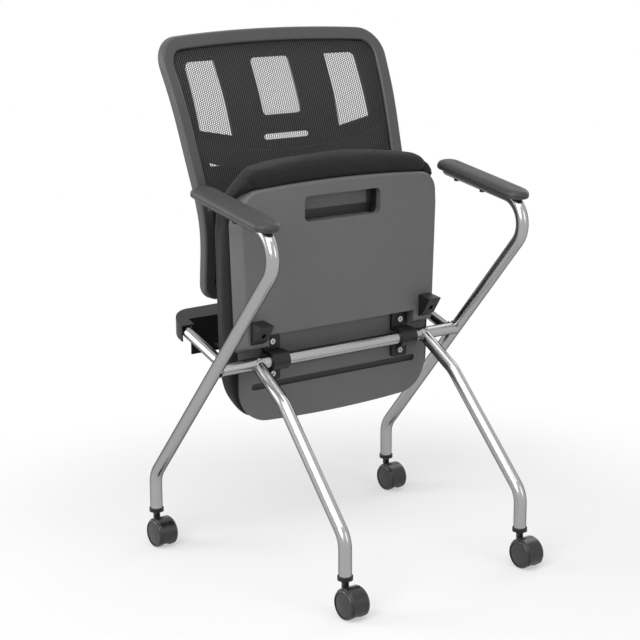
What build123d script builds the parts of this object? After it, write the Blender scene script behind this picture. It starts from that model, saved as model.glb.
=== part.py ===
"""Nesting chair: a steel tube frame on four twin-wheel casters, with a seat that folds up about
the cross tube and a framed mesh back.  Millimetres, +Z up, the sitter faces -Y, and the origin
is on the floor midway between the casters.  Left and right are the sitter's: left is +X."""

import os
from collections import namedtuple
from math import asin, atan2, cos, degrees, radians, sin, sqrt, tan

from build123d import *

os.makedirs("parts", exist_ok=True)

# Fits and gaps
SLIP = 0.1  # radial clearance of a fixed piece in its hole
RUN = 0.05  # radial clearance of a turning piece on its shaft
SEAT_GAP = 0.3  # between soft or formed pieces that lie on each other

# Main steel tube: side frames, cross tube and front legs
TUBE_R = 11.1
TUBE_WALL = 1.6
WELD = 2.2  # throat of the weld beads
ROOT = 4.0  # where a branch starts, ahead of the cross tube's axis and cut back by its wall

# Cross tube, which is also the seat's hinge
HINGE_Y = 24.0
HINGE_Z = 363.0

# Side frames: arm, sloping run and rear leg in one bent tube
FRAME_X = 262.0
ARM_END_Y = 55.0
ARM_RISE = 9.3  # degrees, rising to the rear
ARM_CORNER_Y = -190.0
ARM_CORNER_Z = 610.5
ARM_BEND_R = 48.0
REAR_Y = 234.0
KNEE_Z = 128.0
KNEE_BEND_R = 45.0

# Front legs, splayed a little from the cross tube to the casters
LEG_TOP_X = 181.0
LEG_MID_Y = -57.0
LEG_MID_Z = 313.5
LEG_FOOT_X = 189.0
LEG_FOOT_Y = -234.0
LEG_BEND_R = 60.0

# Casters and their sockets
SOCKET_Z = 59.5  # underside of the sockets
SOCKET_R = 13.0
SOCKET_H = 6.5
SOCKET_FLOOR = 2.5  # thickness under the tube's end
SOCKET_PLUG = 26.0  # length inside the tube
STEM_R = 4.0
STEM_FLANGE_R = 6.0
STEM_FLANGE_H = 2.6
STEM_LOW_Z = 32.0
STEM_SEATED = 24.0  # length inside the socket
WHEEL_R = 25.0
WHEEL_IN = 7.8  # inner face from the caster's middle plane
WHEEL_W = 11.2
WHEEL_ROUND = 3.5  # tyre's outer edge
WHEEL_EDGE = 1.5  # tyre's inner edge
WHEEL_FLOOR = 2.5  # closed outer face over the axle's end
CAP_R = 20.0  # domed cap inside the tyre
CAP_RISE = 1.0
CAP_GROOVE = 1.0  # width of the groove round the cap
CAP_SUNK = 1.8  # and its depth
TRAIL = 18.0  # axle ahead of the stem
AXLE_R = 3.0
HOOD_R = 27.0
HOOD_HALF = 15.5
HOOD_LOW_Z = 10.0
WEB_HALF = 7.2
POCKET_GAP = 0.6
BOSS_R = 6.2
BOSS_TOP_Z = 56.3

# Arm pads
PAD_W = 50.0
PAD_FRONT_Y = -147.0
PAD_REAR_Y = 73.0
PAD_LOW = 2.0  # heights above the arm tube's axis
PAD_TOP = 17.6
PAD_CORNER_R = 24.0
PAD_EDGE_R = 10.0
PAD_LIP_R = 3.0
GRIP_W = 34.0  # body that holds the tube
GRIP_LOW = -4.0
GRIP_FRONT_Y = -60.0
PAD_SCREW_Y = (-40.0, 30.0)
PAD_SCREW_DEPTH = 3.6  # above the tube
PLUG_CAP = 3.0
PLUG_LENGTH = 14.0

# Screws
Screw = namedtuple("Screw", "head_r head_h shank_r socket_r socket_deep")
M4 = Screw(3.8, 2.4, 2.0, 1.4, 1.4)
M5 = Screw(4.6, 3.0, 2.5, 1.7, 1.8)
M6 = Screw(5.6, 3.6, 3.0, 2.2, 2.2)
HEAD_TAPER = 8.0  # degrees

# Backrest: a line in its middle plane, bowed about an upright axis in front
BACK_R = 1800.0
BACK_FOOT_Y = 156.5
BACK_FOOT_Z = 385.0
BACK_BEND_Z = 440.0
BACK_WAIST = ((151.0, 500.0), (141.5, 585.0), (166.0, 680.0), (206.0, 794.0))
BACK_HEAD_Y = 262.0  # at the head, a little above the back
BACK_HEAD_UP = 7.0
BACK_LEAN = 0.42  # at the head, backwards for each unit upwards
BACK_LOW_X = 212.0
BACK_LOW_Z = 455.0
BACK_TOP_X = 241.0
BACK_TOP_Z = 905.0
BACK_CROWN = 9.0  # rise of the top edge to its middle
BACK_SPARE = 24.0  # that a band reaches past the back before it is trimmed
BACK_LOW_R = 30.0
BACK_TOP_R = 48.0
RING_W = 23.0
RING_HALF = 10.0  # half of the ring's depth
RING_ROUND = 4.0
MESH_FRONT = -4.0  # depths behind the middle plane
MESH_T = 0.8
WELT_FRONT = -4.9
WELT_T = 3.3
WELT_W = 3.9
MESH_HELD = 2.0  # mesh inside the ring's groove
SHELL_T = 3.2
SHELL_LIP = 6.0  # ring left showing round the shell
SHELL_GAP = 0.2
RIM_W = 6.0
RIM_T = 3.0
WINDOW_TOP_Z = 855.0
WINDOW_MID = (42.0, 757.0, 8.0)  # half width, low, corner
WINDOW_SIDE = ((114.0, 728.0), (184.0, 742.0), 118.0)  # two low corners, inner edge's top
WINDOW_SIDE_R = (3.0, 12.0)  # corners, and the outer top one
SLOT_MID = (48.0, 715.0, 725.0)
SLOT_SIDE = (146.0, 177.0, 681.0, 696.0)
LUMBAR_Z = 698.0
LUMBAR_END_Z = 736.0
LUMBAR_H = 35.0
LUMBAR_FRONT = 2.0
LUMBAR_T = 3.0
LUMBAR_FOOT_W = 14.0

# Flat steel bars that carry the back
BAR_X = 70.0
BAR_W = 32.0
BAR_T = 6.0
BAR_LOW_Z = 396.0
BAR_TOP_Z = 606.0
BAR_END_R = 10.0
BAR_BEAD = 3.3  # reach of the weld beads behind the bars
BAR_SUNK = 1.5  # seats of the screw heads
BACK_BOSS_R = 7.0

# Rear tube, bent to a U and rising from the cross tube
U_R = 9.5
U_WALL = 1.5
U_X = 240.0
U_RISE = 17.6  # degrees
U_BEND_R = 40.0
TAB_X = 170.0
TAB_W = 20.0
TAB_T = 3.0
TAB_LOW_Z = 358.0

# Cover over the rear tube
COVER_T = 2.5
COVER_GAP = 0.6
COVER_END_Y = 148.0
COVER_FRONT_Y = 166.0
COVER_BOW = 4.0
COVER_CORNER_R = 44.0
COVER_LOW = 14.0  # below the rear tube's axis
COVER_BLOCK = 200.0  # height of the block that the cover is cut from
SLOT_GAP = 1.5  # round the bars
SKIRT_X = 222.0
SKIRT_LOW_Z = 357.0
SKIRT_TOP_Z = 411.0
COVER_SCREW_Z = 367.0

# Seat pan, folded up: its underside faces forwards
SWING = 87.0  # degrees from folded to seated
PAN_Y = 22.0
PAN_RIM_Y = 50.0
PAN_WALL = 3.0
PAN_LOW_X = 199.0
PAN_LOW_Z = 390.0
PAN_MID_X = 206.5
PAN_MID_Z = 600.0
PAN_TOP_X = 205.5
PAN_SIDE_Z = 656.0
PAN_TOP_Z = 664.0
PAN_TOP_R = 36.0
PAN_LOW_R = 6.0
PAN_FLARE = 10.0  # of the low end and the sides; the top end is straight
PAN_EDGE_R = 5.0
NOTCH_X = 157.0
NOTCH_Z = 410.0
TAIL_Y = 46.0
TAIL_X = 203.0
TAIL_LOW_Z = 257.0
TAIL_MID_Z = 248.0
TAIL_R = 60.0
TAIL_SLOT = (310.0, 321.0)
TAIL_SLOT_X = 178.0
HAND_X = 81.0
HAND_Z = (595.0, 639.0)
HAND_DEPTH = 24.0
HAND_R = 9.0
FINGER_TOP_Z = 611.0  # the recess is deeper below this
FINGER_DEPTH = 26.6
RIB_X = 105.0
RIB_T = 3.0

# Seat board and cushion
BOARD_T = 10.0
BOARD_X = 205.0
BOARD_LOW_X = 196.0
BOARD_TOP_Z = 668.0
BOARD_LOW_Z = 258.0
BOARD_TOP_R = 35.0
BOARD_LOW_R = 50.0
CUSHION_X = 219.0
CUSHION_LOW_X = 213.0
CUSHION_LOW_Z = 266.0
CUSHION_MID_LOW_Z = 246.0
CUSHION_SIDE_Z = 684.0
CUSHION_TOP_Z = 701.0
CUSHION_TOP_R = 58.0
CUSHION_LOW_R = 66.0
CUSHION_SHOULDER_R = 28.0
CUSHION_FALL_R = (60.0, 88.0)  # low and top ends, seen from the side
CROWN_Y = 114.0
CROWN_R = 2000.0
CORNER_REACH = 279.0  # from the middle of the sitting face to a corner
CORNER_R = 48.0
ROLL_Y = 25.0  # the roll that wraps over the pan's top end
ROLL_R = 20.0
ROLL_Z = (640.0, 662.0)  # where it starts and where it is full

# Hinge clamps round the cross tube
CLAMP_X = 139.0
CLAMP_W = 34.0
CLAMP_R = 16.0
CLAMP_T = 5.0  # flange
CLAMP_TOP_Z = 404.0
CLAMP_LOW_Z = 324.0
CLAMP_SCREW_Z = (336.0, 393.0)
CLAMP_EDGE_R = 2.5
NUT_R = 4.6
NUT_FLANGE_R = 9.0
NUT_FLANGE_T = 1.4

# Rest blocks that land on the front legs
BLOCK_W = 26.0
BLOCK_LOW_Z = 397.0
BLOCK_TOP_Z = 437.0
BLOCK_REACH = (42.0, 77.0)  # along the leg from the hinge axis
REST_GAP = 0.6
BLOCK_SCREW_Z = 415.0
BLOCK_SCREW_SUNK = 4.0
BLOCK_EDGE_R = 1.5

# Worked out from the sizes above
ARM = radians(ARM_RISE)
ARM_PLANE = Plane(
    origin=(FRAME_X, ARM_CORNER_Y, ARM_CORNER_Z),
    x_dir=(0, cos(ARM), sin(ARM)),
    z_dir=(0, -sin(ARM), cos(ARM)),
)
HINGE_PLANE = Plane(origin=(0, HINGE_Y, HINGE_Z), x_dir=(0, 1, 0), z_dir=(1, 0, 0))
U_SLOPE = radians(U_RISE)
U_PLANE = Plane(
    origin=(0, HINGE_Y, HINGE_Z),
    x_dir=(1, 0, 0),
    z_dir=(0, -sin(U_SLOPE), cos(U_SLOPE)),
)
TUBE_END_Z = SOCKET_Z + SOCKET_FLOOR
CROSS_HALF = FRAME_X - TUBE_R / 2
BACK_SIDE_Z = BACK_TOP_Z - BACK_CROWN
BACK_AXIS_Y = BACK_FOOT_Y - BACK_R
BACK_ARC = degrees(asin((BACK_TOP_X + BACK_SPARE) / BACK_R))
SHELL_FRONT = RING_HALF + SHELL_GAP
SHELL_BACK = SHELL_FRONT + SHELL_T
DEEP = 600.0  # longer than any cut through the chair

CASTERS = {
    "front_left": (LEG_FOOT_X, LEG_FOOT_Y, 0),
    "front_right": (-LEG_FOOT_X, LEG_FOOT_Y, 0),
    "rear_left": (FRAME_X, REAR_Y, 0),
    "rear_right": (-FRAME_X, REAR_Y, 0),
}


def write(part, name):
    """Labels a finished piece and writes it under its name."""
    part.label = name
    export_step(part, f"parts/{name}.step")


def write_pair(left, name):
    """Writes a piece of the left side and its mirror image."""
    write(left, f"{name}_left")
    write(mirror(left, about=Plane.YZ), f"{name}_right")


def upright(y):
    """The upright plane at depth y, seen from the front: an extrusion goes forwards."""
    return Plane.XZ.offset(-y)


def arm_along(y):
    """Distance along the arm from its front corner to depth y."""
    return (y - ARM_CORNER_Y) / cos(ARM)


def arm_end():
    """The plane of the arm tube's open rear end."""
    centre = ARM_PLANE.from_local_coords((arm_along(ARM_END_Y), 0, 0))
    return Plane(centre, z_dir=ARM_PLANE.x_dir)


def bow(x):
    """How far the back has come forwards at a distance x from its middle."""
    return BACK_R - sqrt(BACK_R**2 - x**2)


BAR_FRONT = SHELL_BACK - bow(BAR_X - BAR_W / 2) + SLIP
BAR_BACK = BAR_FRONT + BAR_T
U_REAR_Y = BACK_FOOT_Y + BAR_BACK + U_R
U_REAR = (U_REAR_Y - HINGE_Y) / cos(U_SLOPE)


# ---------------------------------------------------------------- tubes
def rod(points, bends, radius):
    """A solid round rod bent along the points."""
    with BuildPart(mode=Mode.PRIVATE) as bent:
        with BuildLine() as path:
            FilletPolyline(*points, radius=bends)
        with BuildSketch(Plane(path.line @ 0, z_dir=path.line % 0)):
            Circle(radius)
        sweep()
    return bent.part


def side_rod(radius):
    """The left side frame's route: arm, sloping run and rear leg."""
    points = [
        arm_end().origin,
        (FRAME_X, ARM_CORNER_Y, ARM_CORNER_Z),
        (FRAME_X, REAR_Y, KNEE_Z),
        (FRAME_X, REAR_Y, TUBE_END_Z),
    ]
    return rod(points, [ARM_BEND_R, KNEE_BEND_R], radius)


def leg_rod(radius):
    """The left front leg's route, from the hinge axis to the caster."""
    splay = (LEG_FOOT_X - LEG_TOP_X) / (HINGE_Y - LEG_FOOT_Y)
    fall = (HINGE_Z - LEG_MID_Z) / (HINGE_Y - LEG_MID_Y)
    points = [
        (LEG_TOP_X + splay * ROOT, HINGE_Y - ROOT, HINGE_Z - fall * ROOT),
        (LEG_TOP_X + splay * (HINGE_Y - LEG_MID_Y), LEG_MID_Y, LEG_MID_Z),
        (LEG_FOOT_X, LEG_FOOT_Y, KNEE_Z),
        (LEG_FOOT_X, LEG_FOOT_Y, TUBE_END_Z),
    ]
    return rod(points, [LEG_BEND_R, KNEE_BEND_R], radius)


def rear_rod(radius):
    """The rear tube's route, a U in its sloping plane."""
    corners = [(-U_X, ROOT, 0), (-U_X, U_REAR, 0), (U_X, U_REAR, 0), (U_X, ROOT, 0)]
    points = [U_PLANE.from_local_coords(corner) for corner in corners]
    return rod(points, [U_BEND_R, U_BEND_R], radius)


def cross_rod(radius):
    """The cross tube's outside, at any radius."""
    with BuildPart(mode=Mode.PRIVATE) as round_bar:
        with BuildSketch(HINGE_PLANE):
            Circle(radius)
        extrude(amount=CROSS_HALF, both=True)
    return round_bar.part


def bead(bent):
    """A weld bead on the cross tube: what it and a bent tube, both thickened, share."""
    with BuildPart(mode=Mode.PRIVATE) as weld:
        add(cross_rod(TUBE_R + WELD))
        add(bent, mode=Mode.INTERSECT)
    return weld.part


def side_frame():
    with BuildPart() as tube:
        add(side_rod(TUBE_R))
        add(side_rod(TUBE_R - TUBE_WALL), mode=Mode.SUBTRACT)
        for y in PAD_SCREW_Y:
            with BuildSketch(ARM_PLANE):
                with Locations((arm_along(y), 0)):
                    Circle(M5.shank_r + SLIP)
            extrude(amount=2 * TUBE_R, both=True, mode=Mode.SUBTRACT)
    return tube.part


def cross_tube():
    with BuildPart() as tube:
        add(cross_rod(TUBE_R))
        weld = bead(side_rod(TUBE_R + WELD))
        add(weld)
        add(mirror(weld, about=Plane.YZ, mode=Mode.PRIVATE))
        add(cross_rod(TUBE_R - TUBE_WALL), mode=Mode.SUBTRACT)
        side = side_rod(TUBE_R)
        add(side, mode=Mode.SUBTRACT)
        add(mirror(side, about=Plane.YZ, mode=Mode.PRIVATE), mode=Mode.SUBTRACT)
    return tube.part


def front_leg():
    with BuildPart() as tube:
        add(leg_rod(TUBE_R))
        add(bead(leg_rod(TUBE_R + WELD)))
        add(leg_rod(TUBE_R - TUBE_WALL), mode=Mode.SUBTRACT)
        add(cross_rod(TUBE_R), mode=Mode.SUBTRACT)
    return tube.part


def rear_tube():
    """The U with its weld beads and the two tabs that the cover is screwed to."""
    tab_top = HINGE_Z + (U_REAR_Y - HINGE_Y) * tan(U_SLOPE)
    face = U_REAR_Y - U_R
    with BuildPart() as tube:
        add(rear_rod(U_R))
        add(bead(rear_rod(U_R + WELD)))
        for x in (-TAB_X, TAB_X):
            with BuildSketch(upright(face + U_WALL / 2)):
                with Locations((x, (TAB_LOW_Z + tab_top) / 2)):
                    Rectangle(TAB_W, tab_top - TAB_LOW_Z)
            extrude(amount=TAB_T)
            with BuildSketch(upright(face + U_WALL)):
                with Locations((x, COVER_SCREW_Z)):
                    Circle(M4.shank_r + SLIP)
            extrude(amount=2 * TAB_T, mode=Mode.SUBTRACT)
        add(rear_rod(U_R - U_WALL), mode=Mode.SUBTRACT)
        add(cross_rod(TUBE_R), mode=Mode.SUBTRACT)
        # clear of the side frames and their beads
        side = side_rod(TUBE_R + WELD)
        add(side, mode=Mode.SUBTRACT)
        add(mirror(side, about=Plane.YZ, mode=Mode.PRIVATE), mode=Mode.SUBTRACT)
    return tube.part


# ---------------------------------------------------------------- casters
def sockets():
    """Plastic cups in the four tube ends, each bored for a caster's stem."""
    with BuildPart() as cups:
        with BuildSketch(Plane.XY.offset(SOCKET_Z)):
            with Locations(*CASTERS.values()):
                Circle(SOCKET_R)
        extrude(amount=SOCKET_H)
        with BuildSketch(Plane.XY.offset(TUBE_END_Z)):
            with Locations(*CASTERS.values()):
                Circle(TUBE_R + SLIP)
        extrude(amount=SOCKET_H, mode=Mode.SUBTRACT)
        with BuildSketch(Plane.XY.offset(TUBE_END_Z)):
            with Locations(*CASTERS.values()):
                Circle(TUBE_R - TUBE_WALL - SLIP)
        extrude(amount=SOCKET_PLUG)
        with BuildSketch(Plane.XY.offset(SOCKET_Z)):
            with Locations(*CASTERS.values()):
                Circle(STEM_R + SLIP)
        extrude(amount=STEM_SEATED + SLIP, mode=Mode.SUBTRACT)
    return cups.part


def stems():
    """The casters' steel stems, flanged under the sockets."""
    with BuildPart() as pins:
        with BuildSketch(Plane.XY.offset(STEM_LOW_Z)):
            with Locations(*CASTERS.values()):
                Circle(STEM_R)
        extrude(amount=SOCKET_Z + STEM_SEATED - STEM_LOW_Z)
        with BuildSketch(Plane.XY.offset(SOCKET_Z)):
            with Locations(*CASTERS.values()):
                Circle(STEM_FLANGE_R)
        extrude(amount=-STEM_FLANGE_H)
    return pins.part


def hood():
    """One caster's body: a web between the wheels and a cover over them."""
    with BuildPart() as body:
        with BuildSketch(Plane.YZ):
            with Locations((-TRAIL, WHEEL_R)):
                Circle(HOOD_R)
        extrude(amount=HOOD_HALF, both=True)
        rims = body.edges().filter_by(GeomType.CIRCLE)
        fillet(rims, HOOD_R - WHEEL_R)
        for side in (1, -1):
            with BuildSketch(Plane.YZ.offset(side * WEB_HALF)):
                with Locations((-TRAIL, WHEEL_R)):
                    Circle(WHEEL_R + POCKET_GAP)
            extrude(amount=side * HOOD_HALF, mode=Mode.SUBTRACT)
        with BuildSketch(Plane.XY.offset(WHEEL_R)):
            Circle(BOSS_R)
        extrude(amount=BOSS_TOP_Z - WHEEL_R)
        for side in (1, -1):
            with BuildSketch(Plane.YZ.offset(side * WHEEL_IN)):
                with Locations((-TRAIL, WHEEL_R)):
                    Circle(WHEEL_R + POCKET_GAP)
            extrude(amount=side * HOOD_HALF, mode=Mode.SUBTRACT)
        with BuildSketch(Plane.XY.offset(HOOD_LOW_Z)):
            with Locations((0, -TRAIL)):
                Rectangle(4 * HOOD_R, 4 * HOOD_R)
        extrude(amount=-HOOD_R, mode=Mode.SUBTRACT)
        with BuildSketch(Plane.XY.offset(STEM_LOW_Z - SLIP)):
            Circle(STEM_R + RUN)
        extrude(amount=BOSS_TOP_Z, mode=Mode.SUBTRACT)
        with BuildSketch(Plane.YZ):
            with Locations((-TRAIL, WHEEL_R)):
                Circle(AXLE_R + SLIP)
        extrude(amount=HOOD_HALF, both=True, mode=Mode.SUBTRACT)
    return body.part


def axle():
    """One caster's axle, ending just inside the wheels' closed faces."""
    with BuildPart() as pin:
        with BuildSketch(Plane.YZ):
            with Locations((-TRAIL, WHEEL_R)):
                Circle(AXLE_R)
        extrude(amount=WHEEL_IN + WHEEL_W - WHEEL_FLOOR - SEAT_GAP, both=True)
    return pin.part


def wheel():
    """The wheel on a caster's +X side, turned about its axle: a rounded tyre round a domed cap,
    bored from inside."""
    outer = WHEEL_IN + WHEEL_W
    tyre = (outer, WHEEL_R)
    hub = (0, -TRAIL, WHEEL_R)
    with BuildPart() as disc:
        with BuildSketch(Plane(origin=hub, x_dir=(1, 0, 0), z_dir=(0, -1, 0))) as section:
            with BuildLine():
                dome = ThreePointArc(
                    (outer, 0), (outer - CAP_RISE / 4, CAP_R / 2), (outer - CAP_RISE, CAP_R)
                )
                Polyline(
                    dome @ 1,
                    (outer - CAP_SUNK, CAP_R),
                    (outer - CAP_SUNK, CAP_R + CAP_GROOVE),
                    (outer, CAP_R + CAP_GROOVE),
                    tyre,
                    (WHEEL_IN, WHEEL_R),
                    (WHEEL_IN, AXLE_R + RUN),
                    (outer - WHEEL_FLOOR, AXLE_R + RUN),
                    (outer - WHEEL_FLOOR, 0),
                    dome @ 0,
                )
            make_face()
            corners = section.vertices().sort_by_distance(tyre)
            fillet(corners[0], WHEEL_ROUND)
            corners = section.vertices().sort_by_distance((WHEEL_IN, WHEEL_R))
            fillet(corners[0], WHEEL_EDGE)
        revolve(axis=Axis(hub, (1, 0, 0)))
    return disc.part


# ---------------------------------------------------------------- arms
def arm_pad():
    """A padded rest that saddles the arm tube and overhangs it at both ends."""
    front = arm_along(PAD_FRONT_Y)
    rear = arm_along(PAD_REAR_Y)
    grip_front = arm_along(GRIP_FRONT_Y)
    grip_rear = arm_along(ARM_END_Y)
    with BuildPart() as pad:
        with BuildSketch(ARM_PLANE.offset(PAD_LOW)):
            with Locations(((front + rear) / 2, 0)):
                RectangleRounded(rear - front, PAD_W, PAD_CORNER_R)
        extrude(amount=PAD_TOP - PAD_LOW)
        across = Axis(ARM_PLANE.origin, ARM_PLANE.z_dir)
        fillet(pad.faces().sort_by(across)[-1].edges(), PAD_EDGE_R)
        fillet(pad.faces().sort_by(across)[0].edges(), PAD_LIP_R)
        with BuildSketch(ARM_PLANE.offset(GRIP_LOW)):
            with Locations(((grip_front + grip_rear) / 2, 0)):
                RectangleRounded(grip_rear - grip_front, GRIP_W, PAD_EDGE_R)
        extrude(amount=PAD_LOW - GRIP_LOW + PAD_LIP_R)
        add(side_rod(TUBE_R + SLIP), mode=Mode.SUBTRACT)
        with BuildSketch(arm_end()):
            Circle(TUBE_R + SLIP)
        extrude(amount=PLUG_CAP + SEAT_GAP, mode=Mode.SUBTRACT)
        for y in PAD_SCREW_Y:
            with BuildSketch(ARM_PLANE):
                with Locations((arm_along(y), 0)):
                    Circle(M5.shank_r + SLIP)
            extrude(amount=TUBE_R + PAD_SCREW_DEPTH + SLIP, mode=Mode.SUBTRACT)
    return pad.part


def arm_plugs():
    """End plugs in the arm tubes' open rear ends."""
    end = arm_end()
    with BuildPart() as plug:
        with BuildSketch(end):
            Circle(TUBE_R)
        extrude(amount=PLUG_CAP)
        outwards = Axis(end.origin, end.z_dir)
        fillet(plug.faces().sort_by(outwards)[-1].edges(), PLUG_CAP / 2)
        with BuildSketch(end):
            Circle(TUBE_R - TUBE_WALL - SLIP)
        extrude(amount=-PLUG_LENGTH)
        mirror(about=Plane.YZ)
    return plug.part


# ---------------------------------------------------------------- screws
def screws(places, size, length):
    """Socket screws: at each plane the head is on its +Z side and the shank on the other."""
    with BuildPart(mode=Mode.PRIVATE) as group:
        for place in places:
            with BuildSketch(place):
                Circle(size.head_r)
            extrude(amount=size.head_h, taper=HEAD_TAPER)
            with BuildSketch(place):
                Circle(size.shank_r)
            extrude(amount=-length)
            with BuildSketch(place.offset(size.head_h)):
                RegularPolygon(size.socket_r, 6)
            extrude(amount=-size.socket_deep, mode=Mode.SUBTRACT)
    return group.part


def facing(x, y, z, forwards=True):
    """A screw's seat: its head looks forwards, or backwards."""
    return Plane(origin=(x, y, z), x_dir=(1, 0, 0), z_dir=(0, -1 if forwards else 1, 0))


def both_sides(places):
    """The given seats and their mirror images."""
    other = [facing(-p.origin.X, p.origin.Y, p.origin.Z, p.z_dir.Y < 0) for p in places]
    return places + other


def pad_screws():
    """Screws up through the arm tubes into the pads."""
    below = ARM_PLANE.offset(-TUBE_R)
    seats = [
        Plane(below.from_local_coords((arm_along(y), 0, 0)), z_dir=-ARM_PLANE.z_dir)
        for y in PAD_SCREW_Y
    ]
    with BuildPart() as group:
        add(screws(seats, M5, 2 * TUBE_R + PAD_SCREW_DEPTH))
        mirror(about=Plane.YZ)
    return group.part


# ---------------------------------------------------------------- back
def back_line(depth):
    """The back's middle line from the foot to the head, moved back by depth."""
    shift = BACK_R - BACK_FOOT_Y + depth
    foot = Line((BACK_FOOT_Y + shift, BACK_FOOT_Z), (BACK_FOOT_Y + shift, BACK_BEND_Z))
    through = [(y + shift, z) for y, z in BACK_WAIST]
    head = (BACK_HEAD_Y + shift, BACK_TOP_Z + BACK_HEAD_UP)
    lean = Spline(foot @ 1, *through, head, tangents=[(0, 1), (BACK_LEAN, 1)])
    return foot, lean


def back_strip(front, back, plane):
    """A face between the back's middle line at two depths; the plane's x is the distance
    from the upright axis that the back is bowed about."""
    with BuildSketch(plane, mode=Mode.PRIVATE) as strip:
        with BuildLine():
            near = back_line(front)
            far = back_line(back)
            Line(near[0] @ 0, far[0] @ 0)
            Line(near[1] @ 1, far[1] @ 1)
        make_face()
    return strip.sketch


def back_band(front, back):
    """A bowed sheet of the back between two depths, wider and taller than the back."""
    turn = radians(BACK_ARC)
    edge = Plane(
        origin=(0, BACK_AXIS_Y, 0),
        x_dir=(sin(turn), cos(turn), 0),
        z_dir=(cos(turn), -sin(turn), 0),
    )
    with BuildPart(mode=Mode.PRIVATE) as band:
        add(back_strip(front, back, edge))
        revolve(axis=Axis((0, BACK_AXIS_Y, 0), (0, 0, 1)), revolution_arc=2 * BACK_ARC)
    return band.part


def back_outline(grow):
    """The back seen from the front, moved outwards by grow."""
    with BuildSketch(mode=Mode.PRIVATE) as outline:
        with BuildLine():
            low = Line((-BACK_LOW_X, BACK_LOW_Z), (BACK_LOW_X, BACK_LOW_Z))
            top = ThreePointArc(
                (-BACK_TOP_X, BACK_SIDE_Z), (0, BACK_TOP_Z), (BACK_TOP_X, BACK_SIDE_Z)
            )
            Line(low @ 0, top @ 0)
            Line(low @ 1, top @ 1)
        make_face()
        fillet(outline.vertices().group_by(Axis.Y)[0], BACK_LOW_R)
        fillet(outline.vertices().group_by(Axis.Y)[-1], BACK_TOP_R)
        if grow:
            offset(amount=grow)
    return outline.sketch


def back_frame(front, back, outside, inside):
    """A closed frame of the back between two depths and two outlines."""
    with BuildPart(mode=Mode.PRIVATE) as frame:
        add(back_band(front, back))
        with BuildSketch(Plane.XZ):
            add(back_outline(outside))
            add(back_outline(inside), mode=Mode.SUBTRACT)
        extrude(amount=DEEP, both=True, mode=Mode.INTERSECT)
    return frame.part


def ring():
    """The back's plastic frame, grooved on its inside for the mesh."""
    groove_w = MESH_HELD + WELT_W + SLIP
    with BuildPart() as frame:
        add(back_frame(-RING_HALF, RING_HALF, 0, -RING_W))
        broad = frame.faces().sort_by(SortBy.AREA)[-2:]
        fillet(broad.edges(), RING_ROUND)
        add(
            back_frame(
                WELT_FRONT - SLIP,
                WELT_FRONT + WELT_T + SLIP,
                groove_w - RING_W,
                -RING_W - SLIP,
            ),
            mode=Mode.SUBTRACT,
        )
    return frame.part


def welt():
    """The cord-like edge sewn round the mesh and pressed into the groove."""
    inner = MESH_HELD - RING_W
    return back_frame(WELT_FRONT, WELT_FRONT + WELT_T, inner + WELT_W, inner)


def mesh():
    """The stretched mesh itself, as a thin sheet."""
    with BuildPart() as sheet:
        add(back_band(MESH_FRONT, MESH_FRONT + MESH_T))
        with BuildSketch(Plane.XZ):
            add(back_outline(MESH_HELD - RING_W))
        extrude(amount=DEEP, both=True, mode=Mode.INTERSECT)
    return sheet.part


def windows(grow):
    """The shell's openings, seen from the front."""
    half, low, corner = WINDOW_MID
    near, far, near_top = WINDOW_SIDE
    with BuildSketch(mode=Mode.PRIVATE) as holes:
        with Locations((0, (low + WINDOW_TOP_Z) / 2)):
            RectangleRounded(2 * half, WINDOW_TOP_Z - low, corner)
        with BuildSketch(mode=Mode.PRIVATE) as pane:
            with BuildLine():
                Polyline(
                    near, far, (far[0], WINDOW_TOP_Z), (near_top, WINDOW_TOP_Z), close=True
                )
            make_face()
            outer_top = pane.vertices().sort_by_distance((far[0], WINDOW_TOP_Z))
            fillet(outer_top[0], WINDOW_SIDE_R[1])
            fillet(outer_top[1:], WINDOW_SIDE_R[0])
        add(pane.sketch)
        add(mirror(pane.sketch, about=Plane.YZ, mode=Mode.PRIVATE))
        if grow:
            offset(amount=grow)
    return holes.sketch


def small_slots():
    """Narrow slots under the shell's windows."""
    half, low, top = SLOT_MID
    near, far, side_low, side_top = SLOT_SIDE
    with BuildSketch(mode=Mode.PRIVATE) as slots:
        with Locations((0, (low + top) / 2)):
            SlotOverall(2 * half, top - low)
        middle = (near + far) / 2
        with Locations((middle, (side_low + side_top) / 2), (-middle, (side_low + side_top) / 2)):
            SlotOverall(far - near, side_top - side_low)
    return slots.sketch


def bar_seats():
    """Where the bars are screwed to the shell: at two points of the back's line."""
    return [facing(BAR_X, y, z, forwards=False) for y, z in BACK_WAIST[:2]]


def shell():
    """The stiff back panel, with rimmed windows and bosses for the bars' screws."""
    with BuildPart() as panel:
        add(back_band(SHELL_FRONT, SHELL_BACK))
        with BuildSketch(Plane.XZ):
            add(back_outline(-SHELL_LIP))
        extrude(amount=DEEP, both=True, mode=Mode.INTERSECT)
        with BuildSketch(Plane.XZ):
            add(windows(0))
            add(small_slots())
        extrude(amount=DEEP, both=True, mode=Mode.SUBTRACT)
        with BuildPart(mode=Mode.PRIVATE) as rims:
            add(back_band(SHELL_FRONT - RIM_T, SHELL_FRONT + SHELL_T / 2))
            with BuildSketch(Plane.XZ):
                add(windows(RIM_W))
                add(windows(0), mode=Mode.SUBTRACT)
            extrude(amount=DEEP, both=True, mode=Mode.INTERSECT)
        add(rims.part)
        for seat in both_sides(bar_seats()):
            middle = seat.offset(SHELL_FRONT)
            with BuildSketch(middle):
                Circle(BACK_BOSS_R)
            extrude(amount=-BAR_T)
            with BuildSketch(seat.offset(SHELL_BACK)):
                Circle(M5.shank_r + SLIP)
            extrude(amount=-(SHELL_T + BAR_T - SHELL_T / 2), mode=Mode.SUBTRACT)
    return panel.part


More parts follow.
